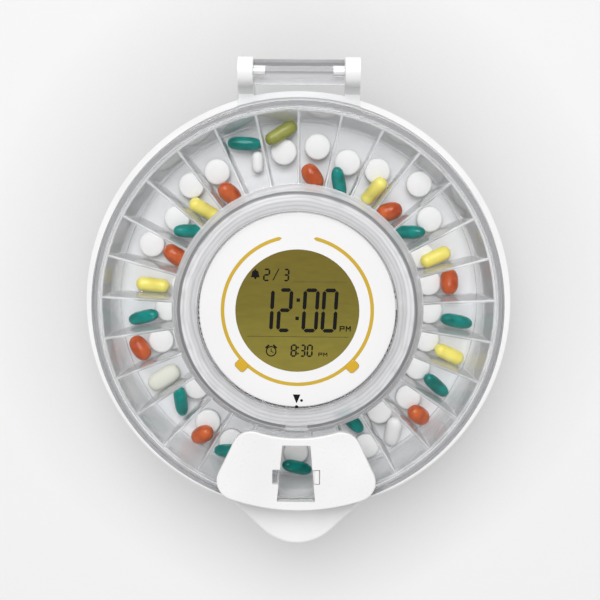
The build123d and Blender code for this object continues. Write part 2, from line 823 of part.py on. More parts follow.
def dispensing_cover():
    """White plate over the lid's window, with a tongue for the lock in front."""
    left, right = polar(2 * skirt_outer, -cover_angle), polar(2 * skirt_outer, cover_angle)
    wedge = make_face(Polyline((0, 0), left, right, close=True))
    outline = (Circle(skirt_outer) - Circle(cover_inner)) & wedge
    outline = fillet(outline.vertices(), cover_corner)
    cover = extrude(Pos(0, 0, lid_top) * outline, cover_thickness, dir=(0, 0, 1))
    cover = fillet(cover.edges().group_by(Axis.Z)[-1], cover_edge_round)
    half = tongue_width / 2
    tongue = block((-half, -tongue_front, tongue_under()), (half, -tongue_back, lid_top + cover_edge_round))
    tongue -= block((-half + tongue_frame, -nose_y, cam_under() - 2 * seat_gap),
                    (half - tongue_frame, 0, cam_under() + cam_thickness + 2 * seat_gap))
    cover += tongue
    cover -= window_outline(window_inner, window_outer, 0, cover_top + 1)
    return cover - window_notch(-1, lid_top) - window_notch(1, lid_top + window_catch_gap) + window_catch()


def window_notch(side, low):
    """Finger notch at one side of the window."""
    notch_y = -window_outer + window_notch_set_back
    near, far = sorted((0, side * notch_reach()))
    return block((near, notch_y, low), (far, notch_y + window_notch_length, cover_top + 1))


def notch_reach():
    taper = (window_outer_width - window_inner_width) / (window_outer - window_inner)
    return (window_outer_width - taper * window_notch_set_back) / 2 + window_notch_width


def window_catch():
    """Small catch that stands in the right notch."""
    notch_y = -window_outer + window_notch_set_back
    far = notch_reach() - window_catch_gap
    return block((far - window_notch_width + 2 * window_catch_gap, notch_y + window_catch_gap, lid_top),
                 (far, notch_y + window_notch_length - window_catch_gap, cover_top))


# ---- lock -------------------------------------------------------------------------
def lock_barrel():
    barrel = disc(lock_radius, lock_under(), cam_under() - running_gap, 0, -lock_y)
    return barrel - disc(lock_plug_radius + pin_fit, 0, rim_top, 0, -lock_y)


def lock_under():
    return rim_top - tab_height + running_gap


def lock_plug():
    plug = disc(lock_plug_radius, lock_under() + seat_gap, cam_under(), 0, -lock_y)
    keyway = block((-keyway_width / 2, -lock_y - keyway_length / 2, 0),
                   (keyway_width / 2, -lock_y + keyway_length / 2, lock_under() + keyway_length))
    return plug - keyway


def lock_cam():
    """Arm that swings from the side to the tongue's slot."""
    arm = block((0, -lock_y - cam_width / 2, cam_under()),
                (cam_length, -lock_y + cam_width / 2, cam_under() + cam_thickness))
    return arm + disc(lock_plug_radius, cam_under(), cam_under() + cam_thickness, 0, -lock_y)


def hinge_pin():
    """Two stub pins, each held in an ear and reaching into the lid's barrel."""
    near, far = ear_inner - hinge_pin_reach, pin_end() - tiny
    ends = ((-far, -near), (near, far))
    return group([rod_x(hinge_pin_radius, low, high, hinge_y, hinge_z) for low, high in ends])


def deck_screws():
    return group([screw(x, y, deck_top - screw_length + screw_tip_space, deck_top - screw_head_height)
                  for x, y in deck_screw_places()])


def hub_screws():
    flange_top = deck_top + deck_thickness
    return group([screw(x, y, deck_under, flange_top) for x, y in hub_screw_places()])


def dial_screws():
    return group([screw(x, y, board_top + screw_length / 2 - screw_tip_space, board_under, head_up=False)
                  for x, y in dial_post_places()])


# ---- the assembly -----------------------------------------------------------------
pieces = {
    "base_shell": base_shell(), "inner_deck": inner_deck(), "hub_tower": hub_tower(),
    "gear_bracket": gear_bracket(), "gear_axle": gear_axle(), "motor": motor(),
    "index_switch": index_switch(),
    "deck_screws": deck_screws(), "hub_screws": hub_screws(), "dial_screws": dial_screws(),
    "hinge_pin": hinge_pin(), "lock_barrel": lock_barrel(),
    "dial_face": dial_face(), "display_window": display_window(), "display_glass": display_glass(),
    "glass_holder": glass_holder(), "circuit_board": circuit_board(), "buzzer": buzzer(),
    "battery_contacts": battery_contacts(), "battery_door": battery_door(),
    "compound_gear": compound_gear(), "motor_pinion": motor_pinion(), "ring_gear": ring_gear(),
    "tray_floor": tray_floor(), "tray_inner_wall": tray_inner_wall(),
    "tray_outer_wall": tray_outer_wall(), "tray_dividers": tray_dividers(),
    "lid_plate": lid_plate(), "lid_hinge": lid_hinge(), "lid_skirt": lid_skirt(), "lid_collar": lid_collar(),
    "dispensing_cover": dispensing_cover(), "lock_plug": lock_plug(), "lock_cam": lock_cam(),
}
for side in button_places():
    pieces[f"button_{side}"] = button(side)
    pieces[f"tact_switch_{side}"] = tact_switch(side)
for i, place in enumerate(foot_places()):
    pieces[f"rubber_foot_{i + 1}"] = rubber_foot(place)
for i in range(cell_count):
    pieces[f"battery_cell_{i + 1}"] = battery_cell(i)

os.makedirs("parts", exist_ok=True)
for name, piece in pieces.items():
    export_step(piece, f"parts/{name}.step")
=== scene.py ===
# Looks of the automatic pill dispenser: clear lid and tray, display, dial print, pills, light and camera.
import math
import bpy
import bmesh
from mathutils import Euler, Matrix, Vector


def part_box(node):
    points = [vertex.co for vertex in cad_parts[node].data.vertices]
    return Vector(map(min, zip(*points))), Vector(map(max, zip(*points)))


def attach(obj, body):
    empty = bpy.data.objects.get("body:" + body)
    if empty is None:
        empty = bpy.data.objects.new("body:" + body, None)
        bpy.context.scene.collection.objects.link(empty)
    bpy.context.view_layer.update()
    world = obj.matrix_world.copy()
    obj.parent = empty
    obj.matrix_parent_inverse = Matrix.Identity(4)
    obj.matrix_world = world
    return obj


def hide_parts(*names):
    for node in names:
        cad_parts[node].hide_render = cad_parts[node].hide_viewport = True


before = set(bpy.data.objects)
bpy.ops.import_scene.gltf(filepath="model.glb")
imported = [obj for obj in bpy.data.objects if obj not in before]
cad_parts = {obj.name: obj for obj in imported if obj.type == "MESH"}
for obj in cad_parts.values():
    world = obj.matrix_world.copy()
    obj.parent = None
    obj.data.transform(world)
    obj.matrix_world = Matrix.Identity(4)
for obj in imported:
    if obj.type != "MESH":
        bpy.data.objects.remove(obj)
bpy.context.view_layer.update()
mm = 0.001
fullTurn = 2 * math.pi
nodeBox = {name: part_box(name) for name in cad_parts}
print("stage 1: frame loaded,", len(nodeBox), "nodes")


def topOf(name):
    return nodeBox[name][1][2] / mm


def underOf(name):
    return nodeBox[name][0][2] / mm


# Half a node's width, which is the radius of a round one
def radiusOf(name):
    return nodeBox[name][1][0] / mm


# node helpers: each input takes a value or another node's output
def feed(tree, node, inputs):
    for key, value in inputs.items():
        if isinstance(value, bpy.types.NodeSocket):
            tree.links.new(value, node.inputs[key])
        else:
            node.inputs[key].default_value = value


def addNode(tree, kind, inputs=None, **settings):
    node = tree.nodes.new(kind)
    for name, value in settings.items():
        setattr(node, name, value)
    feed(tree, node, inputs or {})
    return node


def arithmetic(tree, operation, *terms):
    return addNode(tree, "ShaderNodeMath", dict(enumerate(terms)), operation=operation).outputs["Value"]


def objectPlace(tree):
    return addNode(tree, "ShaderNodeTexCoord").outputs["Object"]


def alongAxis(tree, axis):
    return addNode(tree, "ShaderNodeSeparateXYZ", {"Vector": objectPlace(tree)}).outputs[axis]


def objectNoise(tree, scale, detail, stretch=(1, 1, 1)):
    mapping = addNode(tree, "ShaderNodeMapping", {"Vector": objectPlace(tree), "Scale": stretch})
    return addNode(tree, "ShaderNodeTexNoise", {
        "Vector": mapping.outputs["Vector"], "Scale": scale, "Detail": detail}).outputs["Fac"]


# Goes from low to high while the source goes from fromLow to fromHigh
def spread(tree, source, low, high, fromLow=0.3, fromHigh=0.7):
    return addNode(tree, "ShaderNodeMapRange", {
        "Value": source, "From Min": fromLow, "From Max": fromHigh,
        "To Min": low, "To Max": high}).outputs["Result"]


def twoTones(tree, share, dark, light):
    return addNode(tree, "ShaderNodeMix", {
        "Factor": share, "A": (*dark, 1), "B": (*light, 1)}, data_type="RGBA").outputs["Result"]


# Colours at positions from 0 to 1
def colourRamp(tree, share, stops, interpolation="LINEAR"):
    node = addNode(tree, "ShaderNodeValToRGB", {"Fac": share})
    ramp = node.color_ramp
    ramp.interpolation = interpolation
    ramp.elements[0].position, ramp.elements[1].position = stops[0][0], stops[-1][0]
    for stop in stops[1:-1]:
        ramp.elements.new(stop[0])
    for element, stop in zip(ramp.elements, stops):
        element.color = (*stop[1], 1)
    return node.outputs["Color"]


# material helpers: one Principled shader, then what wanders over its surface
def startMaterial(name, colour, rough, coat=0.0, metal=0.0, specular=0.5):
    material = bpy.data.materials.new(name)
    material.use_nodes = True
    material.diffuse_color = (*colour, 1)
    tree = material.node_tree
    shader = tree.nodes["Principled BSDF"]
    feed(tree, shader, {
        "Base Color": (*colour, 1), "Roughness": rough, "Metallic": metal, "Specular IOR Level": specular,
        "Coat Weight": coat, "Coat Roughness": 0.08})
    return material, tree, shader


def toned(colour, share):
    return tuple(c * share for c in colour)


def driftColour(tree, shader, noise, dark, light):
    feed(tree, shader, {"Base Color": twoTones(tree, spread(tree, noise, 0, 1), dark, light)})


def unevenGloss(tree, shader, noise, rough, shares):
    feed(tree, shader, {"Roughness": spread(tree, noise, rough * shares[0], rough * shares[1])})


def addBump(tree, shader, height, strength, depth):
    bump = addNode(tree, "ShaderNodeBump", {"Height": height, "Strength": strength, "Distance": depth})
    feed(tree, shader, {"Normal": bump.outputs["Normal"]})


# The first shader where the share is 0, the second where it is 1
def mixSurface(tree, share, first, second):
    mix = addNode(tree, "ShaderNodeMixShader", {"Fac": share, 1: first, 2: second})
    feed(tree, tree.nodes["Material Output"], {"Surface": mix.outputs["Shader"]})


# Moulded plastic: a faint drift in tone, uneven gloss and a fine spark-eroded grain
moulded = {"driftScale": 35, "gloss": (0.85, 1.15), "depth": 0.00006}


def mouldedPlastic(name, colour, rough, grain=700, shade=0.03, bump=0.12, coat=0.0, specular=0.5):
    material, tree, shader = startMaterial(name, colour, rough, coat, specular=specular)
    drift = objectNoise(tree, moulded["driftScale"], 2)
    driftColour(tree, shader, drift, toned(colour, 1 - shade), toned(colour, 1 + shade))
    fine = objectNoise(tree, grain, 4)
    unevenGloss(tree, shader, fine, rough, moulded["gloss"])
    addBump(tree, shader, fine, bump, moulded["depth"])
    return material


# Metal with fine lines, packed closer along an axis that is stretched more
brushed = {"scale": 900, "gloss": (0.7, 1.4), "dark": 0.86, "bump": 0.15, "depth": 0.00003}


def brushedMetal(name, colour, rough, stretch):
    material, tree, shader = startMaterial(name, colour, rough, metal=1.0)
    lines = objectNoise(tree, brushed["scale"], 3, stretch)
    unevenGloss(tree, shader, lines, rough, brushed["gloss"])
    driftColour(tree, shader, lines, toned(colour, brushed["dark"]), colour)
    addBump(tree, shader, lines, brushed["bump"], brushed["depth"])
    return material


# Fine broken rings round the middle
turnedRings = {"scale": 190, "distortion": 5, "wander": 0.25, "patchScale": 60, "seen": (0.55, 1.15)}


def turnedStreaks(tree):
    rings = addNode(tree, "ShaderNodeTexWave", {
        "Vector": objectPlace(tree), "Scale": turnedRings["scale"], "Distortion": turnedRings["distortion"],
        "Detail": 3, "Detail Scale": turnedRings["wander"]}, wave_type="RINGS", rings_direction="Z")
    patches = objectNoise(tree, turnedRings["patchScale"], 3)
    return spread(tree, arithmetic(tree, "ADD", rings.outputs["Fac"], patches), 0, 1, *turnedRings["seen"])


# Clear polystyrene: haze is the milky share, and lamp light passes straight through to what lies under
clear = {"ior": 1.49, "waveDepth": 0.0006, "fineScale": 420, "gloss": (0.5, 1.6), "shadowTint": 0.25}


def clearPlastic(name, tint, rough, haze, wave, waveScale, turned=0.0):
    material, tree, shader = startMaterial(name, tint, rough)
    feed(tree, shader, {"Transmission Weight": 1 - haze, "IOR": clear["ior"]})
    if turned:
        streaked = twoTones(tree, turnedStreaks(tree), toned(tint, 1 - turned), tint)
        feed(tree, shader, {"Base Color": streaked})
    addBump(tree, shader, objectNoise(tree, waveScale, 2), wave, clear["waveDepth"])
    unevenGloss(tree, shader, objectNoise(tree, clear["fineScale"], 3), rough, clear["gloss"])
    paleTint = [c ** clear["shadowTint"] for c in tint]
    passThrough = addNode(tree, "ShaderNodeBsdfTransparent", {"Color": (*paleTint, 1)})
    rays = addNode(tree, "ShaderNodeLightPath").outputs
    lampRay = arithmetic(tree, "MAXIMUM", rays["Is Shadow Ray"], rays["Is Diffuse Ray"])
    mixSurface(tree, lampRay, shader.outputs["BSDF"], passThrough.outputs["BSDF"])
    return material


whiteShell = mouldedPlastic("whiteShell", (0.86, 0.86, 0.86), 0.32)
whiteCover = mouldedPlastic("whiteCover", (0.86, 0.853, 0.853), 0.3, bump=0.06)
whiteDial = mouldedPlastic("whiteDial", (0.855, 0.845, 0.845), 0.38, shade=0.015, bump=0.05)
deckPlastic = mouldedPlastic("deckPlastic", (0.86, 0.86, 0.865), 0.4)
gearPlastic = mouldedPlastic("gearPlastic", (0.78, 0.77, 0.72), 0.42, grain=500)
# mid-grey gear colour, made darker so the gap round the dial reads as a painted shadow line
gearShadowGrey = mouldedPlastic("gearShadowGrey", (0.46, 0.46, 0.47), 0.5, grain=500)
yellowPlastic = mouldedPlastic("yellowPlastic", (0.66, 0.40, 0.02), 0.34, bump=0.06, coat=0.2)
holderPlastic = mouldedPlastic("holderPlastic", (0.09, 0.09, 0.08), 0.55)
blackPlastic = mouldedPlastic("blackPlastic", (0.025, 0.025, 0.027), 0.45)
blackPrint = mouldedPlastic("blackPrint", (0.010, 0.009, 0.010), 0.6, bump=0.03, specular=0.1)
ringYellow = mouldedPlastic("ringYellow", (0.60, 0.395, 0.030), 0.4, bump=0.03)
faintLine = mouldedPlastic("faintLine", (0.115, 0.092, 0.022), 0.4, bump=0.03)
footRubber = mouldedPlastic("footRubber", (0.05, 0.05, 0.052), 0.75, grain=300, bump=0.35)
lidClear = clearPlastic("lidClear", (0.985, 0.99, 0.995), 0.03, 0.0, 0.05, 42)
lidSatin = clearPlastic("lidSatin", (0.945, 0.945, 0.955), 0.17, 0.30, 0.10, 60, turned=0.14)
# painted shade: grey clear plastic for the line round the collar's foot, the gap round the dial and the skirt
# foot
lidPaintedShade = clearPlastic("lidPaintedShade", (0.36, 0.36, 0.37), 0.12, 0.40, 0.05, 60)
trayClear = clearPlastic("trayClear", (0.965, 0.97, 0.98), 0.05, 0.18, 0.12, 55)
trayFloorSatin = clearPlastic("trayFloorSatin", (0.95, 0.955, 0.965), 0.12, 0.50, 0.12, 55)
# painted highlight: milky clear plastic on the top edges of the walls and dividers
trayPaintedHighlight = clearPlastic("trayPaintedHighlight", (0.98, 0.985, 0.99), 0.12, 0.28, 0.05, 90)
palePin = mouldedPlastic("palePin", (0.76, 0.76, 0.77), 0.3, bump=0.05)
pinSteel = brushedMetal("pinSteel", (0.56, 0.57, 0.58), 0.28, (1, 12, 12))
screwZinc = brushedMetal("screwZinc", (0.62, 0.63, 0.64), 0.33, (6, 6, 1))
contactBrass = brushedMetal("contactBrass", (0.72, 0.55, 0.24), 0.3, (1, 8, 8))
print("stage 2: plastics and metals ready")

# Olive panel under a glossy lens: darker at the top, with a faint mottle
olive = {
    "stops": [(0.12, (0.245, 0.205, 0.034)), (0.55, (0.182, 0.150, 0.022)), (0.95, (0.170, 0.133, 0.018))],
    "mottleScale": 160,
    "mottle": (0.93, 1.05),
}


def displayGlass():
    middle = olive["stops"][1][1]
    material, tree, shader = startMaterial("displayGlass", middle, 0.34, coat=0.12, specular=0.3)
    height = radiusOf("display_window") * mm
    upShare = spread(tree, alongAxis(tree, "Y"), 0, 1, -height, height)
    mottle = spread(tree, objectNoise(tree, olive["mottleScale"], 3, (1, 3, 1)), *olive["mottle"])
    shaded = addNode(tree, "ShaderNodeVectorMath", {
        0: colourRamp(tree, upShare, olive["stops"]), "Scale": mottle}, operation="SCALE")
    feed(tree, shader, {"Base Color": shaded.outputs["Vector"]})
    return material


# Green board with copper tracks under the mask
def circuitBoard():
    material, tree, shader = startMaterial("circuitBoard", (0.02, 0.14, 0.06), 0.35, coat=0.3)
    tracks = addNode(tree, "ShaderNodeTexBrick", {
        "Vector": objectPlace(tree), "Scale": 160, "Mortar Size": 0.06,
        "Color1": (0.015, 0.115, 0.045, 1), "Color2": (0.02, 0.15, 0.06, 1), "Mortar": (0.07, 0.26, 0.11, 1)})
    feed(tree, shader, {"Base Color": tracks.outputs["Color"]})
    addBump(tree, shader, tracks.outputs["Fac"], 0.2, 0.00005)
    return material


# Printed sleeve of a cell: dark along most of its length, copper-coloured at one end
sleeve = {"dark": (0.03, 0.03, 0.035), "copper": (0.48, 0.23, 0.10), "copperFrom": 0.70,
          "rough": 0.25, "scuffScale": 240, "gloss": (0.8, 1.36)}


def cellJacket():
    material, tree, shader = startMaterial("cellJacket", sleeve["dark"], sleeve["rough"], coat=0.4)
    cellEnd = nodeBox["battery_cell_1"][1][0]
    endShare = spread(tree, alongAxis(tree, "X"), 0, 1, -cellEnd, cellEnd)
    stops = [(0, sleeve["dark"]), (sleeve["copperFrom"], sleeve["copper"])]
    feed(tree, shader, {"Base Color": colourRamp(tree, endShare, stops, "CONSTANT")})
    unevenGloss(tree, shader, objectNoise(tree, sleeve["scuffScale"], 3), sleeve["rough"], sleeve["gloss"])
    return material


# Pressed powder: chalky, with a faint speckle and pits
powder = {"rough": 0.6, "scale": 1500, "bump": 0.25, "depth": 0.00008}


def tabletMaterial(name, colour, speckle):
    material, tree, shader = startMaterial(name, colour, powder["rough"])
    grains = objectNoise(tree, powder["scale"], 4)
    driftColour(tree, shader, grains, toned(colour, 1 - speckle), colour)
    addBump(tree, shader, grains, powder["bump"], powder["depth"])
    return material


# Gelatine shell: glossy, and lighter where the filling gathers
gel = {"coat": 0.4, "specular": 0.3, "scatter": 0.12, "scatterDepth": 0.001,
       "cloudScale": 190, "fineScale": 900, "bump": 0.05, "depth": 0.00005}


def gelMaterial(name, deep, bright, rough=0.16):
    material, tree, shader = startMaterial(name, bright, rough, gel["coat"], specular=gel["specular"])
    feed(tree, shader, {"Subsurface Weight": gel["scatter"], "Subsurface Scale": gel["scatterDepth"],
                        "Subsurface Radius": bright})
    driftColour(tree, shader, objectNoise(tree, gel["cloudScale"], 2), deep, bright)
    addBump(tree, shader, objectNoise(tree, gel["fineScale"], 2), gel["bump"], gel["depth"])
    return material


displayOlive = displayGlass()
boardGreen = circuitBoard()
cellSleeve = cellJacket()
whiteTabletMaterial = tabletMaterial("whiteTablet", (0.91, 0.905, 0.895), 0.04)
ivoryTabletMaterial = tabletMaterial("ivoryTablet", (0.80, 0.80, 0.70), 0.05)
tealGel = gelMaterial("tealGel", (0.0, 0.145, 0.120), (0.0, 0.305, 0.265))
orangeGel = gelMaterial("orangeGel", (0.44, 0.060, 0.012), (0.68, 0.145, 0.035))
yellowGel = gelMaterial("yellowGel", (0.95, 0.80, 0.15), (1.0, 0.90, 0.24), 0.28)
oliveGel = gelMaterial("oliveGel", (0.27, 0.29, 0.05), (0.36, 0.37, 0.08), 0.26)

cadFinish = [
    (whiteShell, ["base_shell", "battery_door"]),
    (whiteCover, ["dispensing_cover"]),
    (whiteDial, ["dial_face"]),
    (deckPlastic, ["inner_deck", "hub_tower"]),
    (displayOlive, ["display_window", "display_glass"]),
    (holderPlastic, ["glass_holder"]),
    (boardGreen, ["circuit_board"]),
    (yellowPlastic, ["button_left", "button_right"]),
    (blackPlastic, ["buzzer", "tact_switch_left", "tact_switch_right", "index_switch"]),
    (pinSteel, ["motor", "gear_bracket", "gear_axle"]),
    (palePin, ["hinge_pin"]),
    # the ring gear's darker grey is a painted shadow line in the gap round the dial
    (gearShadowGrey, ["ring_gear"]),
    (gearPlastic, ["compound_gear"]),
    (contactBrass, ["motor_pinion", "lock_plug"]),
    (screwZinc, ["battery_contacts", "deck_screws", "hub_screws", "dial_screws", "lock_barrel", "lock_cam"]),
    (footRubber, [f"rubber_foot_{n}" for n in range(1, 5)]),
    (cellSleeve, [f"battery_cell_{n}" for n in range(1, 5)]),
]
for material, nodeNames in cadFinish:
    for nodeName in nodeNames:
        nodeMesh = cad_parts[nodeName].data
        nodeMesh.materials.clear()
        nodeMesh.materials.append(material)
print("stage 3: finishes on", sum(len(nodeNames) for material, nodeNames in cadFinish), "nodes")


# object and mesh helpers; meshes are in millimetres until meshFrom closes them
def inScene(name, data):
    made = bpy.data.objects.new(name, data)
    bpy.context.scene.collection.objects.link(made)
    return made


# A named object from a mesh in metres, riding on its body; choose(x, y, z, facing) picks a face's material
def finishPiece(name, mesh, materials, body, sharpAngle, choose=None):
    mesh.name = name
    mesh.materials.clear()
    for material in materials:
        mesh.materials.append(material)
    for face in mesh.polygons:
        face.material_index = choose(*(face.center / mm), face.normal) if choose else 0
    mesh.shade_smooth()
    mesh.set_sharp_from_angle(angle=math.radians(sharpAngle))
    piece = inScene(name, mesh)
    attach(piece, body)
    return piece


# Closes a bmesh into a mesh: merged, normals outwards, in metres
def meshFrom(bm):
    bmesh.ops.remove_doubles(bm, verts=bm.verts, dist=1e-5)
    bmesh.ops.recalc_face_normals(bm, faces=bm.faces)
    bmesh.ops.scale(bm, vec=(mm, mm, mm), verts=bm.verts)
    mesh = bpy.data.meshes.new("part")
    bm.to_mesh(mesh)
    bm.free()
    return mesh


def rectangle(left, right, low, high):
    return [(left, low), (right, low), (right, high), (left, high)]


def circle(x, y, radius, sides):
    angles = [fullTurn * n / sides for n in range(sides)]
    return [(x + radius * math.cos(a), y + radius * math.sin(a)) for a in angles]


# A closed outline from (x, y, radius) corners
def roundedOutline(points, steps=6):
    outline = []
    for i, (x, y, radius) in enumerate(points):
        here = Vector((x, y))
        before = (Vector(points[i - 1][:2]) - here).normalized()
        after = (Vector(points[(i + 1) % len(points)][:2]) - here).normalized()
        opening = before.angle(after)
        if radius <= 0 or opening > math.pi - 0.02:
            outline.append(here)
            continue
        reach = radius / math.tan(opening / 2)
        centre = here + (before + after).normalized() * radius / math.sin(opening / 2)
        start = here + before * reach - centre
        sweep = start.angle_signed(here + after * reach - centre)
        for step in range(steps + 1):
            a = -sweep * step / steps
            outline.append(centre + Vector((start.x * math.cos(a) - start.y * math.sin(a),
                                            start.x * math.sin(a) + start.y * math.cos(a))))
    return outline


# Quads between two closed loops of as many points
def quadsBetween(bm, first, second):
    for i in range(len(first)):
        j = (i + 1) % len(first)
        bm.faces.new((first[i], second[i], second[j], first[j]))


# Turns a closed (radius, height) outline round the Z axis
def turnedSolid(bm, outline, segments):
    rings = []
    for n in range(segments):
        a = fullTurn * n / segments
        rings.append([bm.verts.new((p.x * math.cos(a), p.x * math.sin(a), p.y)) for p in outline])
    for n in range(segments):
        quadsBetween(bm, rings[n], rings[(n + 1) % segments])


# Closed prism of an outline between two heights along Z or X
def prism(bm, outline, low, high, axis="Z"):
    def loopAt(h):
        return [bm.verts.new((h, p[0], p[1]) if axis == "X" else (p[0], p[1], h)) for p in outline]

    lower, upper = loopAt(low), loopAt(high)
    bm.faces.new(lower[::-1])
    bm.faces.new(upper)
    quadsBetween(bm, upper, lower)


def prismMesh(outline, low, high, axis="Z"):
    bm = bmesh.new()
    prism(bm, outline, low, high, axis)
    return meshFrom(bm)


# The base mesh with each of the other meshes united with it or cut from it
def joined(base, others, operation):
    body = inScene("joinBase", base)
    helpers = []
    for other in others:
        cut = body.modifiers.new("join", "BOOLEAN")
        cut.operation = operation
        cut.solver = "EXACT"
        cut.object = inScene("joinTool", other)
        helpers.append(cut.object)
    graph = bpy.context.evaluated_depsgraph_get()
    result = bpy.data.meshes.new_from_object(body.evaluated_get(graph))
    for spent in [body, *helpers]:
        bpy.data.objects.remove(spent, do_unlink=True)
    return result


# An empty geometry tree with its named inputs; returns the tree, its ends and the input sockets
def nodeGroup(name, sockets):
    tree = bpy.data.node_groups.new(name, "GeometryNodeTree")
    add = tree.interface.new_socket
    add("Geometry", in_out="INPUT", socket_type="NodeSocketGeometry")
    inputs = {label: add(label, in_out="INPUT", socket_type=kind) for label, kind in sockets}
    add("Geometry", in_out="OUTPUT", socket_type="NodeSocketGeometry")
    return tree, tree.nodes.new("NodeGroupInput"), tree.nodes.new("NodeGroupOutput"), inputs


# Copies a part onto points, makes the copies real, paints them and ends the tree
def endCopies(tree, start, end, points, part, rotation):
    copies = addNode(tree, "GeometryNodeInstanceOnPoints", {
        "Points": points, "Instance": part, "Rotation": rotation})
    real = addNode(tree, "GeometryNodeRealizeInstances", {"Geometry": copies.outputs["Instances"]})
    paint = addNode(tree, "GeometryNodeSetMaterial", {
        "Geometry": real.outputs["Geometry"], "Material": start.outputs["Finish"]})
    feed(tree, end, {"Geometry": paint.outputs["Geometry"]})


# Runs a geometry tree on a mesh and returns the plain mesh
def bakeTree(mesh, tree, values):
    carrier = inScene("carrier", mesh)
    modifier = carrier.modifiers.new("nodes", "NODES")
    modifier.node_group = tree
    for socket, value in values:
        modifier[socket.identifier] = value
    graph = bpy.context.evaluated_depsgraph_get()
    result = bpy.data.meshes.new_from_object(carrier.evaluated_get(graph))
    bpy.data.objects.remove(carrier, do_unlink=True)
    return result


# Copies a part evenly round the Z axis
def ringTree():
    tree, start, end, inputs = nodeGroup("ringCopies", [
        ("Count", "NodeSocketInt"), ("First Angle", "NodeSocketFloat"), ("Finish", "NodeSocketMaterial")])
    points = addNode(tree, "GeometryNodePoints", {"Count": start.outputs["Count"]})
    index = addNode(tree, "GeometryNodeInputIndex")
    step = arithmetic(tree, "DIVIDE", fullTurn, start.outputs["Count"])
    angle = arithmetic(tree, "MULTIPLY_ADD", index.outputs["Index"], step, start.outputs["First Angle"])
    rotation = addNode(tree, "ShaderNodeCombineXYZ", {"Z": angle})
    endCopies(tree, start, end, points.outputs["Points"], start.outputs["Geometry"],
              rotation.outputs["Vector"])
    return tree, inputs


# Copies a part onto points, each turned by the point's own attribute
def placedTree():
    tree, start, end, inputs = nodeGroup("placedCopies", [
        ("Part", "NodeSocketObject"), ("Finish", "NodeSocketMaterial")])
    part = addNode(tree, "GeometryNodeObjectInfo", {"Object": start.outputs["Part"]})
    turned = addNode(tree, "GeometryNodeInputNamedAttribute", {"Name": "turned"}, data_type="FLOAT_VECTOR")
    endCopies(tree, start, end, start.outputs["Geometry"], part.outputs["Geometry"],
              turned.outputs["Attribute"])
    return tree, inputs


# clear tray
tray = {
    "compartments": 29,
    "wall": 1.5,
    "bore": radiusOf("tray_inner_wall"),
    "outer": radiusOf("tray_outer_wall"),
    "floorEdge": radiusOf("tray_floor") - 1.5,
    "runnerUnder": underOf("tray_floor"),
    "under": underOf("tray_floor") + 1.4,
    "floor": topOf("tray_floor"),
    "top": topOf("tray_outer_wall"),
    "runner": (60.0, 62.0),
    "divider": 1.2,
    "dividerUnderTop": 0.02,
    "dividerRoundSteps": 8,
    "segments": 232,
    "rounds": {"outerCorner": 4.0, "innerCorner": 2.4, "edge": 0.45, "foot": 1.4, "runner": 0.3},
    "paintedHighlightBand": 0.3,  # painted highlight: a milky band under the rounded top edges
    "upwards": 0.2,
    "level": 0.6,  # how much of a face's normal is vertical
}


def buildTray():
    wall, rounds = tray["wall"], tray["rounds"]
    outerTop = tray["outer"] - wall
    runnerStart, runnerEnd = tray["runner"]
    outline = roundedOutline([
        (tray["bore"] - wall, tray["under"], 0), (runnerStart, tray["under"], 0),
        (runnerStart, tray["runnerUnder"], rounds["runner"]),
        (runnerEnd, tray["runnerUnder"], rounds["runner"]), (runnerEnd, tray["under"], 0),
        (tray["floorEdge"] + wall, tray["under"], rounds["foot"]),
        (tray["outer"], tray["top"], rounds["edge"]), (outerTop, tray["top"], rounds["edge"]),
        (tray["floorEdge"], tray["floor"], rounds["outerCorner"]),
        (tray["bore"], tray["floor"], rounds["innerCorner"]),
        (tray["bore"], tray["top"], rounds["edge"]), (tray["bore"] - wall, tray["top"], rounds["edge"])])
    trough = bmesh.new()
    turnedSolid(trough, outline, tray["segments"])

    # one divider, its foot inside the floor, its ends inside the walls, its top edge round
    half, steps = tray["divider"] / 2, tray["dividerRoundSteps"]
    low, high = tray["floor"] - wall / 2, tray["top"] - tray["dividerUnderTop"]
    topArc = [math.pi * n / steps for n in range(steps + 1)]
    crossing = [(-half, low), (half, low)]
    crossing += [(half * math.cos(a), high - half + half * math.sin(a)) for a in topArc]
    lean = (outerTop - tray["floorEdge"]) / (tray["top"] - tray["floor"])
    farFoot = tray["floorEdge"] + wall / 2
    divider = bmesh.new()
    near = [divider.verts.new((x, tray["bore"] - wall / 2, z)) for x, z in crossing]
    far = [divider.verts.new((x, farFoot + lean * (z - tray["floor"]), z)) for x, z in crossing]
    divider.faces.new(near)
    divider.faces.new(far[::-1])
    quadsBetween(divider, near, far)
    tree, inputs = ringTree()
    dividers = bakeTree(meshFrom(divider), tree, [
        (inputs["Count"], tray["compartments"]), (inputs["First Angle"], 0.0), (inputs["Finish"], trayClear)])
    return joined(meshFrom(trough), [dividers], "UNION")


# Satin floor, milky top edges as a painted highlight, clear walls
def trayFace(x, y, z, facing):
    rounds = tray["rounds"]
    if z > tray["top"] - rounds["edge"] - tray["paintedHighlightBand"] and facing.z > tray["upwards"]:
        return 2
    return 1 if z < tray["floor"] + rounds["innerCorner"] and abs(facing.z) > tray["level"] else 0


trayFinish = [trayClear, trayFloorSatin, trayPaintedHighlight]
clearTray = finishPiece("clearTray", buildTray(), trayFinish, "tray", 32, trayFace)
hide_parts("tray_floor", "tray_inner_wall", "tray_outer_wall", "tray_dividers")
print("stage 4: clear tray,", len(clearTray.data.polygons), "faces")

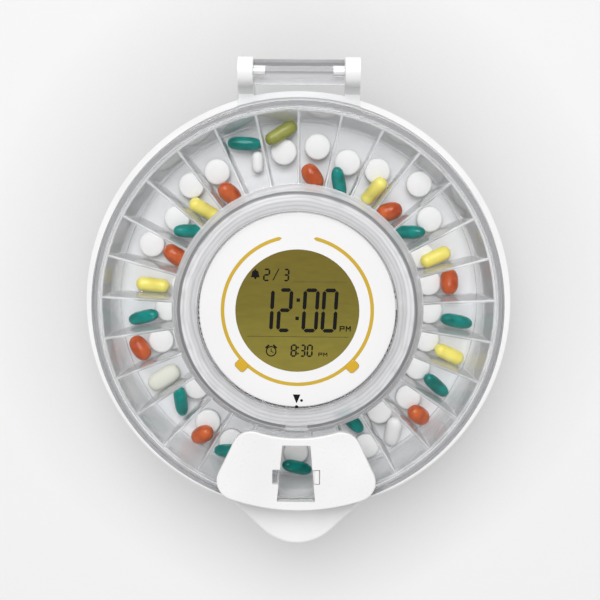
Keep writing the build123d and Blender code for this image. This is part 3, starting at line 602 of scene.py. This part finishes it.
# clear lid
lid = {
    "under": underOf("lid_plate"),
    "top": topOf("lid_plate"),
    "outer": radiusOf("lid_plate"),
    "skirtWall": 2.5,
    "skirtUnder": underOf("lid_skirt"),
    "collarFoot": radiusOf("lid_collar"),
    "collarSlope": 2.6,
    "collarTop": topOf("lid_collar") - 0.5,  # the lug stands above it
    "hole": 43.45,
    # painted shade line round the collar's foot, and the width of the painted shade at the hole edge
    "paintedShadeLine": (51.0, 52.4),
    "holeShadeWidth": 0.7,
    "rounds": {"skirtFoot": 0.5, "rim": 0.9, "collarFoot": 0.5, "collarTop": 0.35, "hole": 0.5,
               "holeUnder": 0.3, "plateUnder": 0.4, "skirtRoot": 1.0},
    "flange": {"half": nodeBox["lid_hinge"][1][0] / mm, "overlap": 6.5, "end": 97.1, "corner": 0.8,
               "barrelCorner": 0.5},
    "barrel": {"half": 19.5, "radius": 5.5, "at": (103.0, 51.0), "sides": 48},
    "pinHole": {"radius": 2.05, "depth": 5.0, "sides": 24},
    "lug": {"half": 4.8, "near": -49.2, "far": -53.1, "corner": 0.8, "proud": 0.5},
    "tongueNotch": {"half": 9.3, "from": -88.5, "below": 0.5, "skirtStep": 2},
    "window": {"inner": 60.6, "outer": 86.7, "innerHalf": 6.3, "outerHalf": 8.6, "corner": 0.6},
    "meet": 0.01,  # keeps joined faces out of one plane
    "past": 1,  # how far a cut runs beyond the surface
    "near": 0.1,
    "segments": 240,
}


def lidShell():
    rounds, thick, outer = lid["rounds"], lid["top"] - lid["under"], lid["outer"]
    collarRadius, collarTop = lid["collarFoot"] - lid["collarSlope"], lid["collarTop"]
    collarUnder = collarTop - thick
    rise = thick * lid["collarSlope"] / (collarTop - lid["top"])
    inner = outer - lid["skirtWall"]
    shell = bmesh.new()
    turnedSolid(shell, roundedOutline([
        (inner, lid["skirtUnder"], rounds["skirtFoot"]), (outer, lid["skirtUnder"], rounds["skirtFoot"]),
        (outer, lid["top"], rounds["rim"]), (lid["collarFoot"], lid["top"], rounds["collarFoot"]),
        (collarRadius, collarTop, rounds["collarTop"]), (lid["paintedShadeLine"][1], collarTop, 0),
        (lid["paintedShadeLine"][0], collarTop, 0), (lid["hole"], collarTop, rounds["hole"]),
        (lid["hole"], collarUnder, rounds["holeUnder"]),
        (collarRadius - rise, collarUnder, rounds["plateUnder"]),
        (lid["collarFoot"] - thick, lid["under"], rounds["plateUnder"]),
        (inner, lid["under"], rounds["skirtRoot"])]), lid["segments"])
    return meshFrom(shell)


def lidHinge():
    flange, barrel, meet = lid["flange"], lid["barrel"], lid["meet"]
    hingeY, hingeZ = barrel["at"]
    root = lid["outer"] - flange["overlap"]
    right = [(flange["half"], root, 0), (flange["half"], flange["end"], flange["corner"]),
             (barrel["half"], flange["end"], flange["barrelCorner"]), (barrel["half"], hingeY, 0)]
    outline = roundedOutline(right + [(-x, y, r) for x, y, r in reversed(right)])
    tube = circle(hingeY, hingeZ, barrel["radius"], barrel["sides"])
    return [prismMesh(outline, lid["under"] + meet, lid["top"] - meet),
            prismMesh(tube, meet - barrel["half"], barrel["half"] - meet, "X")]


def lidLug():
    lug = lid["lug"]
    corners = rectangle(-lug["half"], lug["half"], lug["far"], lug["near"])
    return prismMesh(roundedOutline([(*corner, lug["corner"]) for corner in corners]),
                     lid["collarTop"] - lug["proud"], lid["collarTop"] + lug["proud"])


def lidCuts():
    past, opening, notch, pin = lid["past"], lid["window"], lid["tongueNotch"], lid["pinHole"]
    barrelHalf = lid["barrel"]["half"]
    window = roundedOutline([(x, y, opening["corner"]) for x, y in (
        (-opening["outerHalf"], -opening["outer"]), (opening["outerHalf"], -opening["outer"]),
        (opening["innerHalf"], -opening["inner"]), (-opening["innerHalf"], -opening["inner"]))])
    half, outside = notch["half"], -lid["outer"] - past
    plateNotch = rectangle(-half, half, notch["from"], outside)
    skirtNotch = rectangle(-half, half, notch["from"] + notch["skirtStep"], outside)
    pinCircle = circle(*lid["barrel"]["at"], pin["radius"], pin["sides"])
    pinEnds = (barrelHalf - pin["depth"], barrelHalf + past)
    pinHoles = [prismMesh(pinCircle, *sorted(side * end for end in pinEnds), "X") for side in (-1, 1)]
    return [prismMesh(window, lid["under"] - past, lid["top"] + past),
            prismMesh(plateNotch, lid["under"] - notch["below"], lid["top"] + past),
            prismMesh(skirtNotch, lid["skirtUnder"] - past, lid["under"] - lid["meet"]), *pinHoles]


# Painted shade in grey clear plastic on the line round the collar's foot, on the hole edge round the dial and
# on the skirt foot; milky collar, clear elsewhere
def lidFace(x, y, z, facing):
    reach, near, past = math.hypot(x, y), lid["near"], lid["past"]
    onLine = lid["paintedShadeLine"][0] < reach < lid["paintedShadeLine"][1] and abs(z - lid["collarTop"]) < near
    onSkirt = reach > lid["outer"] - lid["skirtWall"] - past and z < lid["skirtUnder"] + past
    onEdge = reach < lid["hole"] + lid["holeShadeWidth"] and z < lid["collarTop"] + near
    if onLine or onEdge or (onSkirt and facing.z < -0.5):
        return 2
    return 1 if reach < lid["collarFoot"] + near else 0


lidSolid = joined(joined(lidShell(), [*lidHinge(), lidLug()], "UNION"), lidCuts(), "DIFFERENCE")
clearLid = finishPiece("clearLid", lidSolid, [lidClear, lidSatin, lidPaintedShade], "lid", 32, lidFace)
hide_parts("lid_plate", "lid_skirt", "lid_collar", "lid_hinge")
print("stage 5: clear lid,", len(clearLid.data.polygons), "faces")

# figures on the display
figures = {
    "slant": math.tan(math.radians(3)),
    "lift": 0.015,
    "thick": 0.03,
    "gapShare": 0.14,
    "dotSides": 20,
    "time": {"stroke": 1.6, "low": -9.4, "high": 10.1,
             "digits": [("1", -15.3, -10.8), ("2", -9.3, -2.7), ("0", 1.75, 8.85), ("0", 10.1, 17.1)]},
    "dose": {"stroke": 0.72, "low": 13.1, "high": 18.7, "digits": [("2", -15.1, -12.1), ("3", -6.3, -3.7)]},
    "alarm": {"stroke": 0.72, "low": -20.4, "high": -14.8,
              "digits": [("8", -3.0, -0.2), ("3", 1.1, 3.65), ("0", 4.1, 6.8)]},
    # x, y, half side
    "colonDots": [(0.4, 4.9, 0.75), (-0.05, -3.2, 0.75), (0.5, -16.2, 0.36), (0.4, -18.9, 0.36)],
    "slash": ([(-10.6, 13.7), (-8.2, 18.5)], 0.42),
    "afternoon": [(18.6, -8.8, 5.2, 2.35), (9.4, -20.1, 4.2, 1.7)],  # left, low, width, height
    "bell": [(-20.4, 14.8, 0.2), (-16.4, 14.8, 0.2), (-16.9, 16.0, 0.4), (-17.0, 17.8, 1.1),
             (-19.8, 17.8, 1.1), (-19.9, 16.0, 0.4)],
    "bellEnds": [(-18.4, 14.5, 0.5), (-18.4, 18.05, 0.35)],
    "clock": {"at": (-11.4, -18.0), "outer": 2.35, "inner": 1.85, "sides": 36},
    "clockStrokes": [([(-11.4, -16.9), (-11.4, -18.0), (-10.5, -18.5)], 0.34),
                     ([(-13.6, -16.3), (-12.6, -15.4)], 0.7), ([(-9.2, -16.3), (-10.2, -15.4)], 0.7)],
    "lines": [([(-21.8, -11.4), (22.4, -11.4)], 0.28), ([(-1.2, 13.0), (21.4, 13.0)], 0.22)],
}
segmentsOf = {"0": "abcdef", "1": "bc", "2": "abged", "3": "abgcd", "8": "abcdefg"}
printLow = topOf("display_window") + figures["lift"]
printHigh = printLow + figures["thick"]


# Slanted bars with mitred ends and hairline gaps
def sevenSegment(bm, digit, left, right, low, high, stroke):
    half, gap = stroke / 2, stroke * figures["gapShare"]
    xs, ys = (left + half, right - half), (low + half, (low + high) / 2, high - half)
    ends = {"a": ((0, 2), (1, 2)), "g": ((0, 1), (1, 1)), "d": ((0, 0), (1, 0)),
            "f": ((0, 1), (0, 2)), "b": ((1, 1), (1, 2)), "e": ((0, 0), (0, 1)), "c": ((1, 0), (1, 1))}
    for name in segmentsOf[digit]:
        (xa, ya), (xb, yb) = [(xs[i], ys[j]) for i, j in ends[name]]
        if ya == yb:
            bar = [(xa + gap, ya), (xa + gap + half, ya - half), (xb - gap - half, ya - half),
                   (xb - gap, ya), (xb - gap - half, ya + half), (xa + gap + half, ya + half)]
        else:
            bar = [(xa, ya + gap), (xa + half, ya + gap + half), (xa + half, yb - gap - half),
                   (xa, yb - gap), (xa - half, yb - gap - half), (xa - half, ya + gap + half)]
        prism(bm, [(x + (y - low) * figures["slant"], y) for x, y in bar], printLow, printHigh)


# A run of square-ended bars
def stroked(bm, points, width):
    for a, b in zip(points, points[1:]):
        a, b = Vector(a), Vector(b)
        along = (b - a).normalized() * width / 2
        side = Vector((-along.y, along.x))
        bar = [a - along - side, b + along - side, b + along + side, a - along + side]
        prism(bm, bar, printLow, printHigh)


def dot(bm, x, y, radius, low=printLow, high=printHigh):
    prism(bm, circle(x, y, radius, figures["dotSides"]), low, high)


# The letters P and M in plain strokes, all their sizes shares of the mark's height and width
letters = {"stroke": 0.2, "width": 0.42, "bowl": 0.48, "second": 0.52, "dip": 0.45}


def afternoonMark(bm, left, low, width, height):
    stroke = height * letters["stroke"]
    x, y = left + stroke / 2, low + stroke / 2
    w, h = width * letters["width"] - stroke, height - stroke
    bowl = y + h * letters["bowl"]
    stroked(bm, [(x, y), (x, y + h), (x + w, y + h), (x + w, bowl), (x, bowl)], stroke)
    x += width * letters["second"]
    stroked(bm, [(x, y), (x, y + h), (x + w / 2, y + h * letters["dip"]), (x + w, y + h), (x + w, y)], stroke)


def clockRing(bm):
    clock = figures["clock"]
    inner, outer = [circle(*clock["at"], clock[edge], clock["sides"]) for edge in ("inner", "outer")]
    for n in range(clock["sides"]):
        following = (n + 1) % clock["sides"]
        prism(bm, [inner[n], outer[n], outer[following], inner[following]], printLow, printHigh)


def buildFigures():
    bm = bmesh.new()
    for row in ("time", "dose", "alarm"):
        style = figures[row]
        for digit, left, right in style["digits"]:
            sevenSegment(bm, digit, left, right, style["low"], style["high"], style["stroke"])
    for x, y, half in figures["colonDots"]:
        prism(bm, rectangle(x - half, x + half, y - half, y + half), printLow, printHigh)
    stroked(bm, *figures["slash"])
    for mark in figures["afternoon"]:
        afternoonMark(bm, *mark)
    prism(bm, roundedOutline(figures["bell"]), printLow, printHigh)
    for end in figures["bellEnds"]:
        dot(bm, *end)
    clockRing(bm)
    for strokes in figures["clockStrokes"]:
        stroked(bm, *strokes)
    return meshFrom(bm)


def buildLines():
    bm = bmesh.new()
    for line in figures["lines"]:
        stroked(bm, *line)
    return meshFrom(bm)


finishPiece("figurePrint", buildFigures(), [blackPrint], "base", 20)
finishPiece("displayLines", buildLines(), [faintLine], "base", 20)

# print on the dial
dialPrint = {
    "ring": {"inner": 32.0, "outer": 33.55, "gapDegrees": 12.3, "steps": 180, "narrowest": 0.1},
    "pointer": [(-1.7, -37.4, 0.1), (-0.05, -41.6, 0.2), (1.6, -37.4, 0.1)],
    "dots": [(2.15, -40.1, 0.62), (-0.05, -43.0, 0.75)],
    "low": topOf("dial_face") + 0.01,
    "high": topOf("dial_face") + 0.05,
}


# Open ring with round ends
def buildDialRing():
    ring, low, high = dialPrint["ring"], dialPrint["low"], dialPrint["high"]
    middle, half = (ring["inner"] + ring["outer"]) / 2, (ring["outer"] - ring["inner"]) / 2
    start = math.radians(90 + ring["gapDegrees"])
    sweep = fullTurn - 2 * math.radians(ring["gapDegrees"])
    bm = bmesh.new()
    rows = []
    for n in range(ring["steps"] + 1):
        a = start + sweep * n / ring["steps"]
        reach = n / ring["steps"] * sweep * middle
        toRound = half - min(reach, sweep * middle - reach)
        width = math.sqrt(max(half**2 - max(toRound, 0) ** 2, ring["narrowest"] ** 2))
        rows.append([bm.verts.new((r * math.cos(a), r * math.sin(a), z))
                     for r, z in rectangle(middle - width, middle + width, low, high)])
    for here, following in zip(rows, rows[1:]):
        quadsBetween(bm, following, here)
    bm.faces.new(rows[0])
    bm.faces.new(rows[-1][::-1])
    return meshFrom(bm)


def buildPointer():
    bm = bmesh.new()
    prism(bm, roundedOutline(dialPrint["pointer"], 3), dialPrint["low"], dialPrint["high"])
    for spot in dialPrint["dots"]:
        dot(bm, *spot, dialPrint["low"], dialPrint["high"])
    return meshFrom(bm)


finishPiece("dialRing", buildDialRing(), [ringYellow], "base", 30)
finishPiece("dialPointer", buildPointer(), [blackPrint], "base", 30)
print("stage 6: display figures and dial print")

# pills, one list per kind: compartment, radius, offset clockwise, turn clockwise from the radius
pillKinds = {
    "whiteTablets": {"size": (11.6, 11.6, 4.4), "shape": "tablet", "finish": whiteTabletMaterial, "places": [
        (0, 71.5, 0.5, 0), (1, 67.7, 0.2, 0), (2, 69.9, -0.8, 0), (3, 77.6, 2.4, 0), (4, 70.9, 1.1, 0),
        (5, 60.2, -0.9, 0), (6, 60.3, 1.5, 0), (7, 60.5, 0.5, 0), (8, 61.6, 0.6, 0), (9, 62.8, 0.7, 0),
        (10, 67.7, 0.2, 0), (11, 63.7, 0.6, 0), (12, 75.0, -1.0, 0), (14, 71.2, 0.6, 0),
        (16, 73.0, 0.2, 0), (17, 70.6, -2.9, 0), (18, 61.8, -2.2, 0), (20, 65.9, -3.0, 0),
        (21, 60.2, -2.4, 0), (23, 72.1, -0.3, 0), (24, 67.4, 0.6, 0), (25, 72.2, 1.2, 0),
        (26, 70.0, -2.3, 0), (28, 68.9, 0.5, 0)]},
    "smallTablets": {"size": (7.0, 7.0, 3.2), "shape": "tablet", "finish": whiteTabletMaterial, "places": [
        (22, 55.5, -0.8, 0)]},
    "smallCaplets": {"size": (9.6, 5.3, 4.2), "shape": "capsule", "finish": whiteTabletMaterial, "places": [
        (27, 66.6, 2.6, 18)]},
    "whiteCaplets": {"size": (15.4, 7.3, 5.2), "shape": "capsule", "finish": whiteTabletMaterial, "places": [
        (11, 75.0, 1.4, 46)]},
    "ivoryCaplets": {"size": (16.2, 8.7, 5.6), "shape": "capsule", "finish": ivoryTabletMaterial, "places": [
        (19, 71.8, -3.8, -5)]},
    "tealSoftgels": {"size": (15.6, 6.2, 6.2), "shape": "softgel", "finish": tealGel, "places": [
        (1, 57.8, -0.5, -48), (4, 59.7, 2.6, 32), (7, 72.9, 4.7, 10), (9, 74.3, 4.5, 16),
        (12, 60.5, 2.2, -20), (14, 81.0, 0.3, -69), (16, 81.0, -1.0, 56), (18, 71.6, -2.4, -64),
        (21, 71.4, -6.9, -14), (24, 59.1, -3.9, -53), (27, 76.2, -0.6, -74)]},
    "orangeSoftgels": {"size": (12.4, 8.3, 8.0), "shape": "ovalSoftgel", "finish": orangeGel, "places": [
        (0, 58.1, -0.4, -49), (3, 58.6, 1.4, 31), (6, 69.6, 1.4, -78), (10, 78.6, 3.2, 0),
        (17, 81.0, -4.9, 18), (20, 76.0, -3.8, 69), (23, 60.0, -2.8, 16), (26, 58.8, -1.7, -14)]},
    "yellowCapsules": {"size": (15.4, 6.3, 6.3), "shape": "hardShell", "finish": yellowGel, "places": [
        (2, 61.5, 2.4, 8), (5, 65.9, 3.8, 0), (8, 73.2, 4.6, 12), (22, 67.2, -5.0, -4),
        (25, 60.2, -1.9, -15)]},
    "oliveCapsules": {"size": (16.2, 6.1, 6.1), "shape": "hardShell", "finish": oliveGel, "places": [
        (28, 79.8, 0, 69)]},
}


# One pill lying along X, its middle at the origin; a crown's points are shares of its radius and its drop
tabletForm = {"dome": 0.16, "crown": [(0, 0), (0.5, 0.25), (0.86, 0.78), (0.93, 1)], "bevel": 0.35,
              "sides": 48}
longForms = {
    "capsule": {"power": 2.6, "straight": 0.45},
    "softgel": {"power": 2.35, "straight": 0.30},
    "ovalSoftgel": {"power": 2.35, "straight": 0},
    "hardShell": {"power": 2.0, "straight": 1.0},
}
shellLip = {"at": 0.06, "wider": 1.035, "height": 0.12}


def tabletMesh(width, height):
    radius, half, dome = width / 2, height / 2, height * tabletForm["dome"]
    side = [(radius * r, half - dome * down) for r, down in tabletForm["crown"]]
    side += [(radius, half - dome - tabletForm["bevel"]), (radius, 0)]
    outline = side + [(r, -z) for r, z in reversed(side[:-1])]
    bm = bmesh.new()
    turnedSolid(bm, [Vector(p) for p in outline], tabletForm["sides"])
    return meshFrom(bm)


def longPillMesh(shape, length, width, height, steps=14, sides=32):
    form = longForms[shape]
    flat = max(0, (length - width) / 2) * form["straight"]
    end = length / 2 - flat
    angles = [math.pi / 2 * n / steps for n in range(steps + 1)]
    bulge = 2 / form["power"]
    cap = [(width / 2 * max(math.cos(a), 0) ** bulge, flat + end * math.sin(a) ** bulge) for a in angles]
    lower = [(r, -z) for r, z in cap]
    if shape == "hardShell":
        lip, wider = length * shellLip["at"], shellLip["wider"]
        upper = [(r * wider, z) for r, z in reversed(cap)]
        step = [(width / 2 * wider, -lip), (width / 2, -lip - shellLip["height"])]
        outline = upper + step + lower
    else:
        outline = cap[::-1] + (lower[1:] if flat == 0 else lower)
    bm = bmesh.new()
    turnedSolid(bm, [Vector(p) for p in outline], sides)
    bmesh.ops.rotate(bm, verts=bm.verts, cent=(0, 0, 0), matrix=Matrix.Rotation(math.pi / 2, 3, "Y"))
    bmesh.ops.scale(bm, vec=(1, 1, height / width), verts=bm.verts)
    return meshFrom(bm)


# how pills lie
resting = {
    "gap": 0.03,
    "room": 0.15,
    "wallLean": 1.2,  # more room at the sloping outer wall
    "turnBack": 0.93,  # share of its turn that a pill keeps at each try to fit
    "leastTurn": 1,
    "touch": 0.2,
    "edgeHeight": 0.85,  # share of a tablet's height where a pill leans on it
    "steepest": 32,
}


# Keeps a pill between its dividers and the walls; returns (radius, offset, turn)
def settled(size, radius, offset, degrees):
    half = math.pi / tray["compartments"]
    wallHalf, room = tray["divider"] / 2, resting["room"]
    length, width = size[0], size[1]
    reach = (length - width) / 2
    while True:
        t = math.radians(degrees)
        along, across = reach * math.cos(t), reach * math.sin(t)
        low = tray["bore"] + width / 2 + abs(along) + room
        high = tray["floorEdge"] - width / 2 - abs(along) + resting["wallLean"]
        radius = min(max(radius, low), high)
        limits = []
        for sign in (-1, 1):
            space = (radius + sign * along) * math.sin(half) - wallHalf - width / 2 - room
            limits.append((-space - sign * across, space - sign * across))
        lowest, highest = max(a for a, b in limits), min(b for a, b in limits)
        if lowest <= highest:
            return radius, min(max(offset, lowest), highest), degrees
        if abs(degrees) < resting["leastTurn"]:
            return radius, 0.0, degrees
        degrees *= resting["turnBack"]


# Lift and tilt of a long pill whose one end rests on the tablet beside it
def propped(size, place, tabletSize, tabletPlace):
    radius, offset, degrees = place
    t = math.radians(degrees)
    reach, half = (size[0] - size[1]) / 2, size[2] / 2
    axis = Vector((math.cos(t), math.sin(t)))
    across = Vector((tabletPlace[0] - radius, tabletPlace[1] - offset))
    along = min(max(across.dot(axis), -reach), reach)
    overlap = tabletSize[0] / 2 + size[1] / 2 - (across - axis * along).length
    if overlap < resting["touch"]:
        return 0.0, 0.0
    sunk = half - math.sqrt(max(half**2 - max(half - overlap, 0) ** 2, 0))
    climb = tabletSize[2] * resting["edgeHeight"] - sunk
    tilt = min(math.atan2(max(climb, 0), reach + abs(along)), math.radians(resting["steepest"]))
    return math.sin(tilt) * reach, -math.copysign(tilt, along)


# Points that carry each pill's place and turn
def pillMarks(name, kind, tablets):
    spots, turns = [], []
    for compartment, *place in kind["places"]:
        radius, offset, degrees = settled(kind["size"], *place)
        angle = (compartment + 0.5) * fullTurn / tray["compartments"]
        rise, tilt = 0.0, 0.0
        if kind["shape"] != "tablet" and compartment in tablets:
            rise, tilt = propped(kind["size"], (radius, offset, degrees), *tablets[compartment])
        lift = kind["size"][2] / 2 + resting["gap"] + rise
        x = radius * math.sin(angle) + offset * math.cos(angle)
        y = radius * math.cos(angle) - offset * math.sin(angle)
        spots.append((x * mm, y * mm, (tray["floor"] + lift) * mm))
        heading = Euler((0, 0, math.pi / 2 - angle - math.radians(degrees)))
        turns.append((heading.to_matrix() @ Matrix.Rotation(tilt, 3, "Y")).to_euler())
    marks = bpy.data.meshes.new(name + "Marks")
    marks.from_pydata(spots, [], [])
    attribute = marks.attributes.new("turned", "FLOAT_VECTOR", "POINT")
    for n, euler in enumerate(turns):
        attribute.data[n].vector = euler
    return marks


def placePills():
    tree, inputs = placedTree()
    tablets = {compartment: (kind["size"], settled(kind["size"], *place))
               for kind in pillKinds.values() if kind["shape"] == "tablet"
               for compartment, *place in kind["places"]}
    for name, kind in pillKinds.items():
        length, width, height = kind["size"]
        tablet = kind["shape"] == "tablet"
        shape = tabletMesh(width, height) if tablet else longPillMesh(kind["shape"], length, width, height)
        pill = inScene("pillShape", shape)
        mesh = bakeTree(pillMarks(name, kind, tablets), tree, [
            (inputs["Part"], pill), (inputs["Finish"], kind["finish"])])
        bpy.data.objects.remove(pill, do_unlink=True)
        finishPiece(name, mesh, [kind["finish"]], "tray", 50)


placePills()
print("stage 7: pills in the compartments")

# floor, light and camera, in metres
studio = {
    "floorSize": 10.0,
    "floorSides": 64,
    "floorThick": 0.02,
    "floorColour": 0.84,
    "floorRough": 0.9,
    "paper": {"scale": 60, "bump": 0.02, "depth": 0.0002},
    "backgroundColour": 0.885,
    "shadowShare": 0.66,
    # painted contact shadow on the floor: its darkest colour and its reach
    "contactShadowColour": 0.26,
    "contactShadowReach": 0.075,
    "openFrom": 0.2,
    "fade": (0.35, 1.5),
    "skyStrength": 0.56,
    "skyReflected": 0.10,
    "keyLamp": {"power": 30, "size": 1.6, "at": (-0.14, 1.15, 1.75)},
    "fillLamp": {"power": 1.0, "size": 0.7, "at": (0.15, -1.0, 0.8)},
    "camera": {"sensor": 36, "lens": 65.27, "clip": (0.02, 20), "at": (0.0081, 0.0770, 0.5294),
               "degrees": (-8.71, 0.91, 0.41)},
}


# 1 for what the camera sees directly or through clear pieces alone, 0 for every other ray
def straightSight(tree, countFrom):
    rays = addNode(tree, "ShaderNodeLightPath").outputs
    turns = arithmetic(tree, "SUBTRACT", rays["Ray Depth"], rays["Transmission Depth"])
    straight = arithmetic(tree, "LESS_THAN", turns, countFrom + 0.5)
    through = arithmetic(tree, "MULTIPLY", straight, rays["Is Transmission Ray"])
    return arithmetic(tree, "MAXIMUM", rays["Is Camera Ray"], through)


# A round floor with a painted contact shadow, darker where the object stands, that turns into the plain
# backdrop far from it
def buildFloor():
    outline = circle(0, 0, studio["floorSize"] / 2 / mm, studio["floorSides"])
    floor = inScene("floor", prismMesh(outline, -studio["floorThick"] / mm, 0))
    tones = [studio[key] for key in ("contactShadowColour", "floorColour", "backgroundColour")]
    dark, light, backdrop = [[tone] * 3 for tone in tones]
    material, tree, shader = startMaterial("paleFloor", light, studio["floorRough"], specular=0.1)
    # painted contact shadow: the floor's own colour darkens by ambient occlusion near the object
    contact = addNode(tree, "ShaderNodeAmbientOcclusion", {"Distance": studio["contactShadowReach"]}, samples=8)
    openShare = spread(tree, contact.outputs["AO"], 0, 1, studio["openFrom"], 1)
    feed(tree, shader, {"Base Color": twoTones(tree, openShare, dark, light)})
    paper = studio["paper"]
    addBump(tree, shader, objectNoise(tree, paper["scale"], 2), paper["bump"], paper["depth"])
    glow = addNode(tree, "ShaderNodeEmission", {"Color": (*backdrop, 1)})
    distance = addNode(tree, "ShaderNodeVectorMath", {0: objectPlace(tree)}, operation="LENGTH")
    plain = spread(tree, distance.outputs["Value"], 1 - studio["shadowShare"], 1, *studio["fade"])
    share = arithmetic(tree, "MULTIPLY", straightSight(tree, 0), plain)
    mixSurface(tree, share, shader.outputs["BSDF"], glow.outputs["Emission"])
    floor.data.materials.append(material)


def addLamp(name):
    settings = studio[name]
    light = bpy.data.lights.new(name, "AREA")
    light.shape = "DISK"
    light.size = settings["size"]
    light.energy = settings["power"]
    lamp = inScene(name, light)
    lamp.location = settings["at"]
    lamp.rotation_euler = (-Vector(settings["at"])).to_track_quat("-Z", "Y").to_euler()


def addSky():
    world = bpy.data.worlds.new("studioSky")
    bpy.context.scene.world = world
    world.use_nodes = True
    tree = world.node_tree
    glossy = addNode(tree, "ShaderNodeLightPath").outputs["Is Glossy Ray"]
    strength = spread(tree, glossy, studio["skyStrength"], studio["skyReflected"], 0, 1)
    # the world counts a ray's turns from 1
    backdrop = addNode(tree, "ShaderNodeMix", {
        "Factor": straightSight(tree, 1), "A": strength, "B": studio["backgroundColour"]})
    feed(tree, tree.nodes["Background"], {"Color": (1, 1, 1, 1), "Strength": backdrop.outputs["Result"]})


def addCamera():
    settings = studio["camera"]
    view = bpy.data.cameras.new("camera")
    view.sensor_width = settings["sensor"]
    view.lens = settings["lens"]
    view.clip_start, view.clip_end = settings["clip"]
    camera = inScene("camera", view)
    camera.location = settings["at"]
    camera.rotation_euler = [math.radians(a) for a in settings["degrees"]]
    bpy.context.scene.camera = camera


buildFloor()
addLamp("keyLamp")
addLamp("fillLamp")
addSky()
addCamera()
bpy.context.scene.view_settings.view_transform = "Standard"
print("stage 8: floor, light and camera")
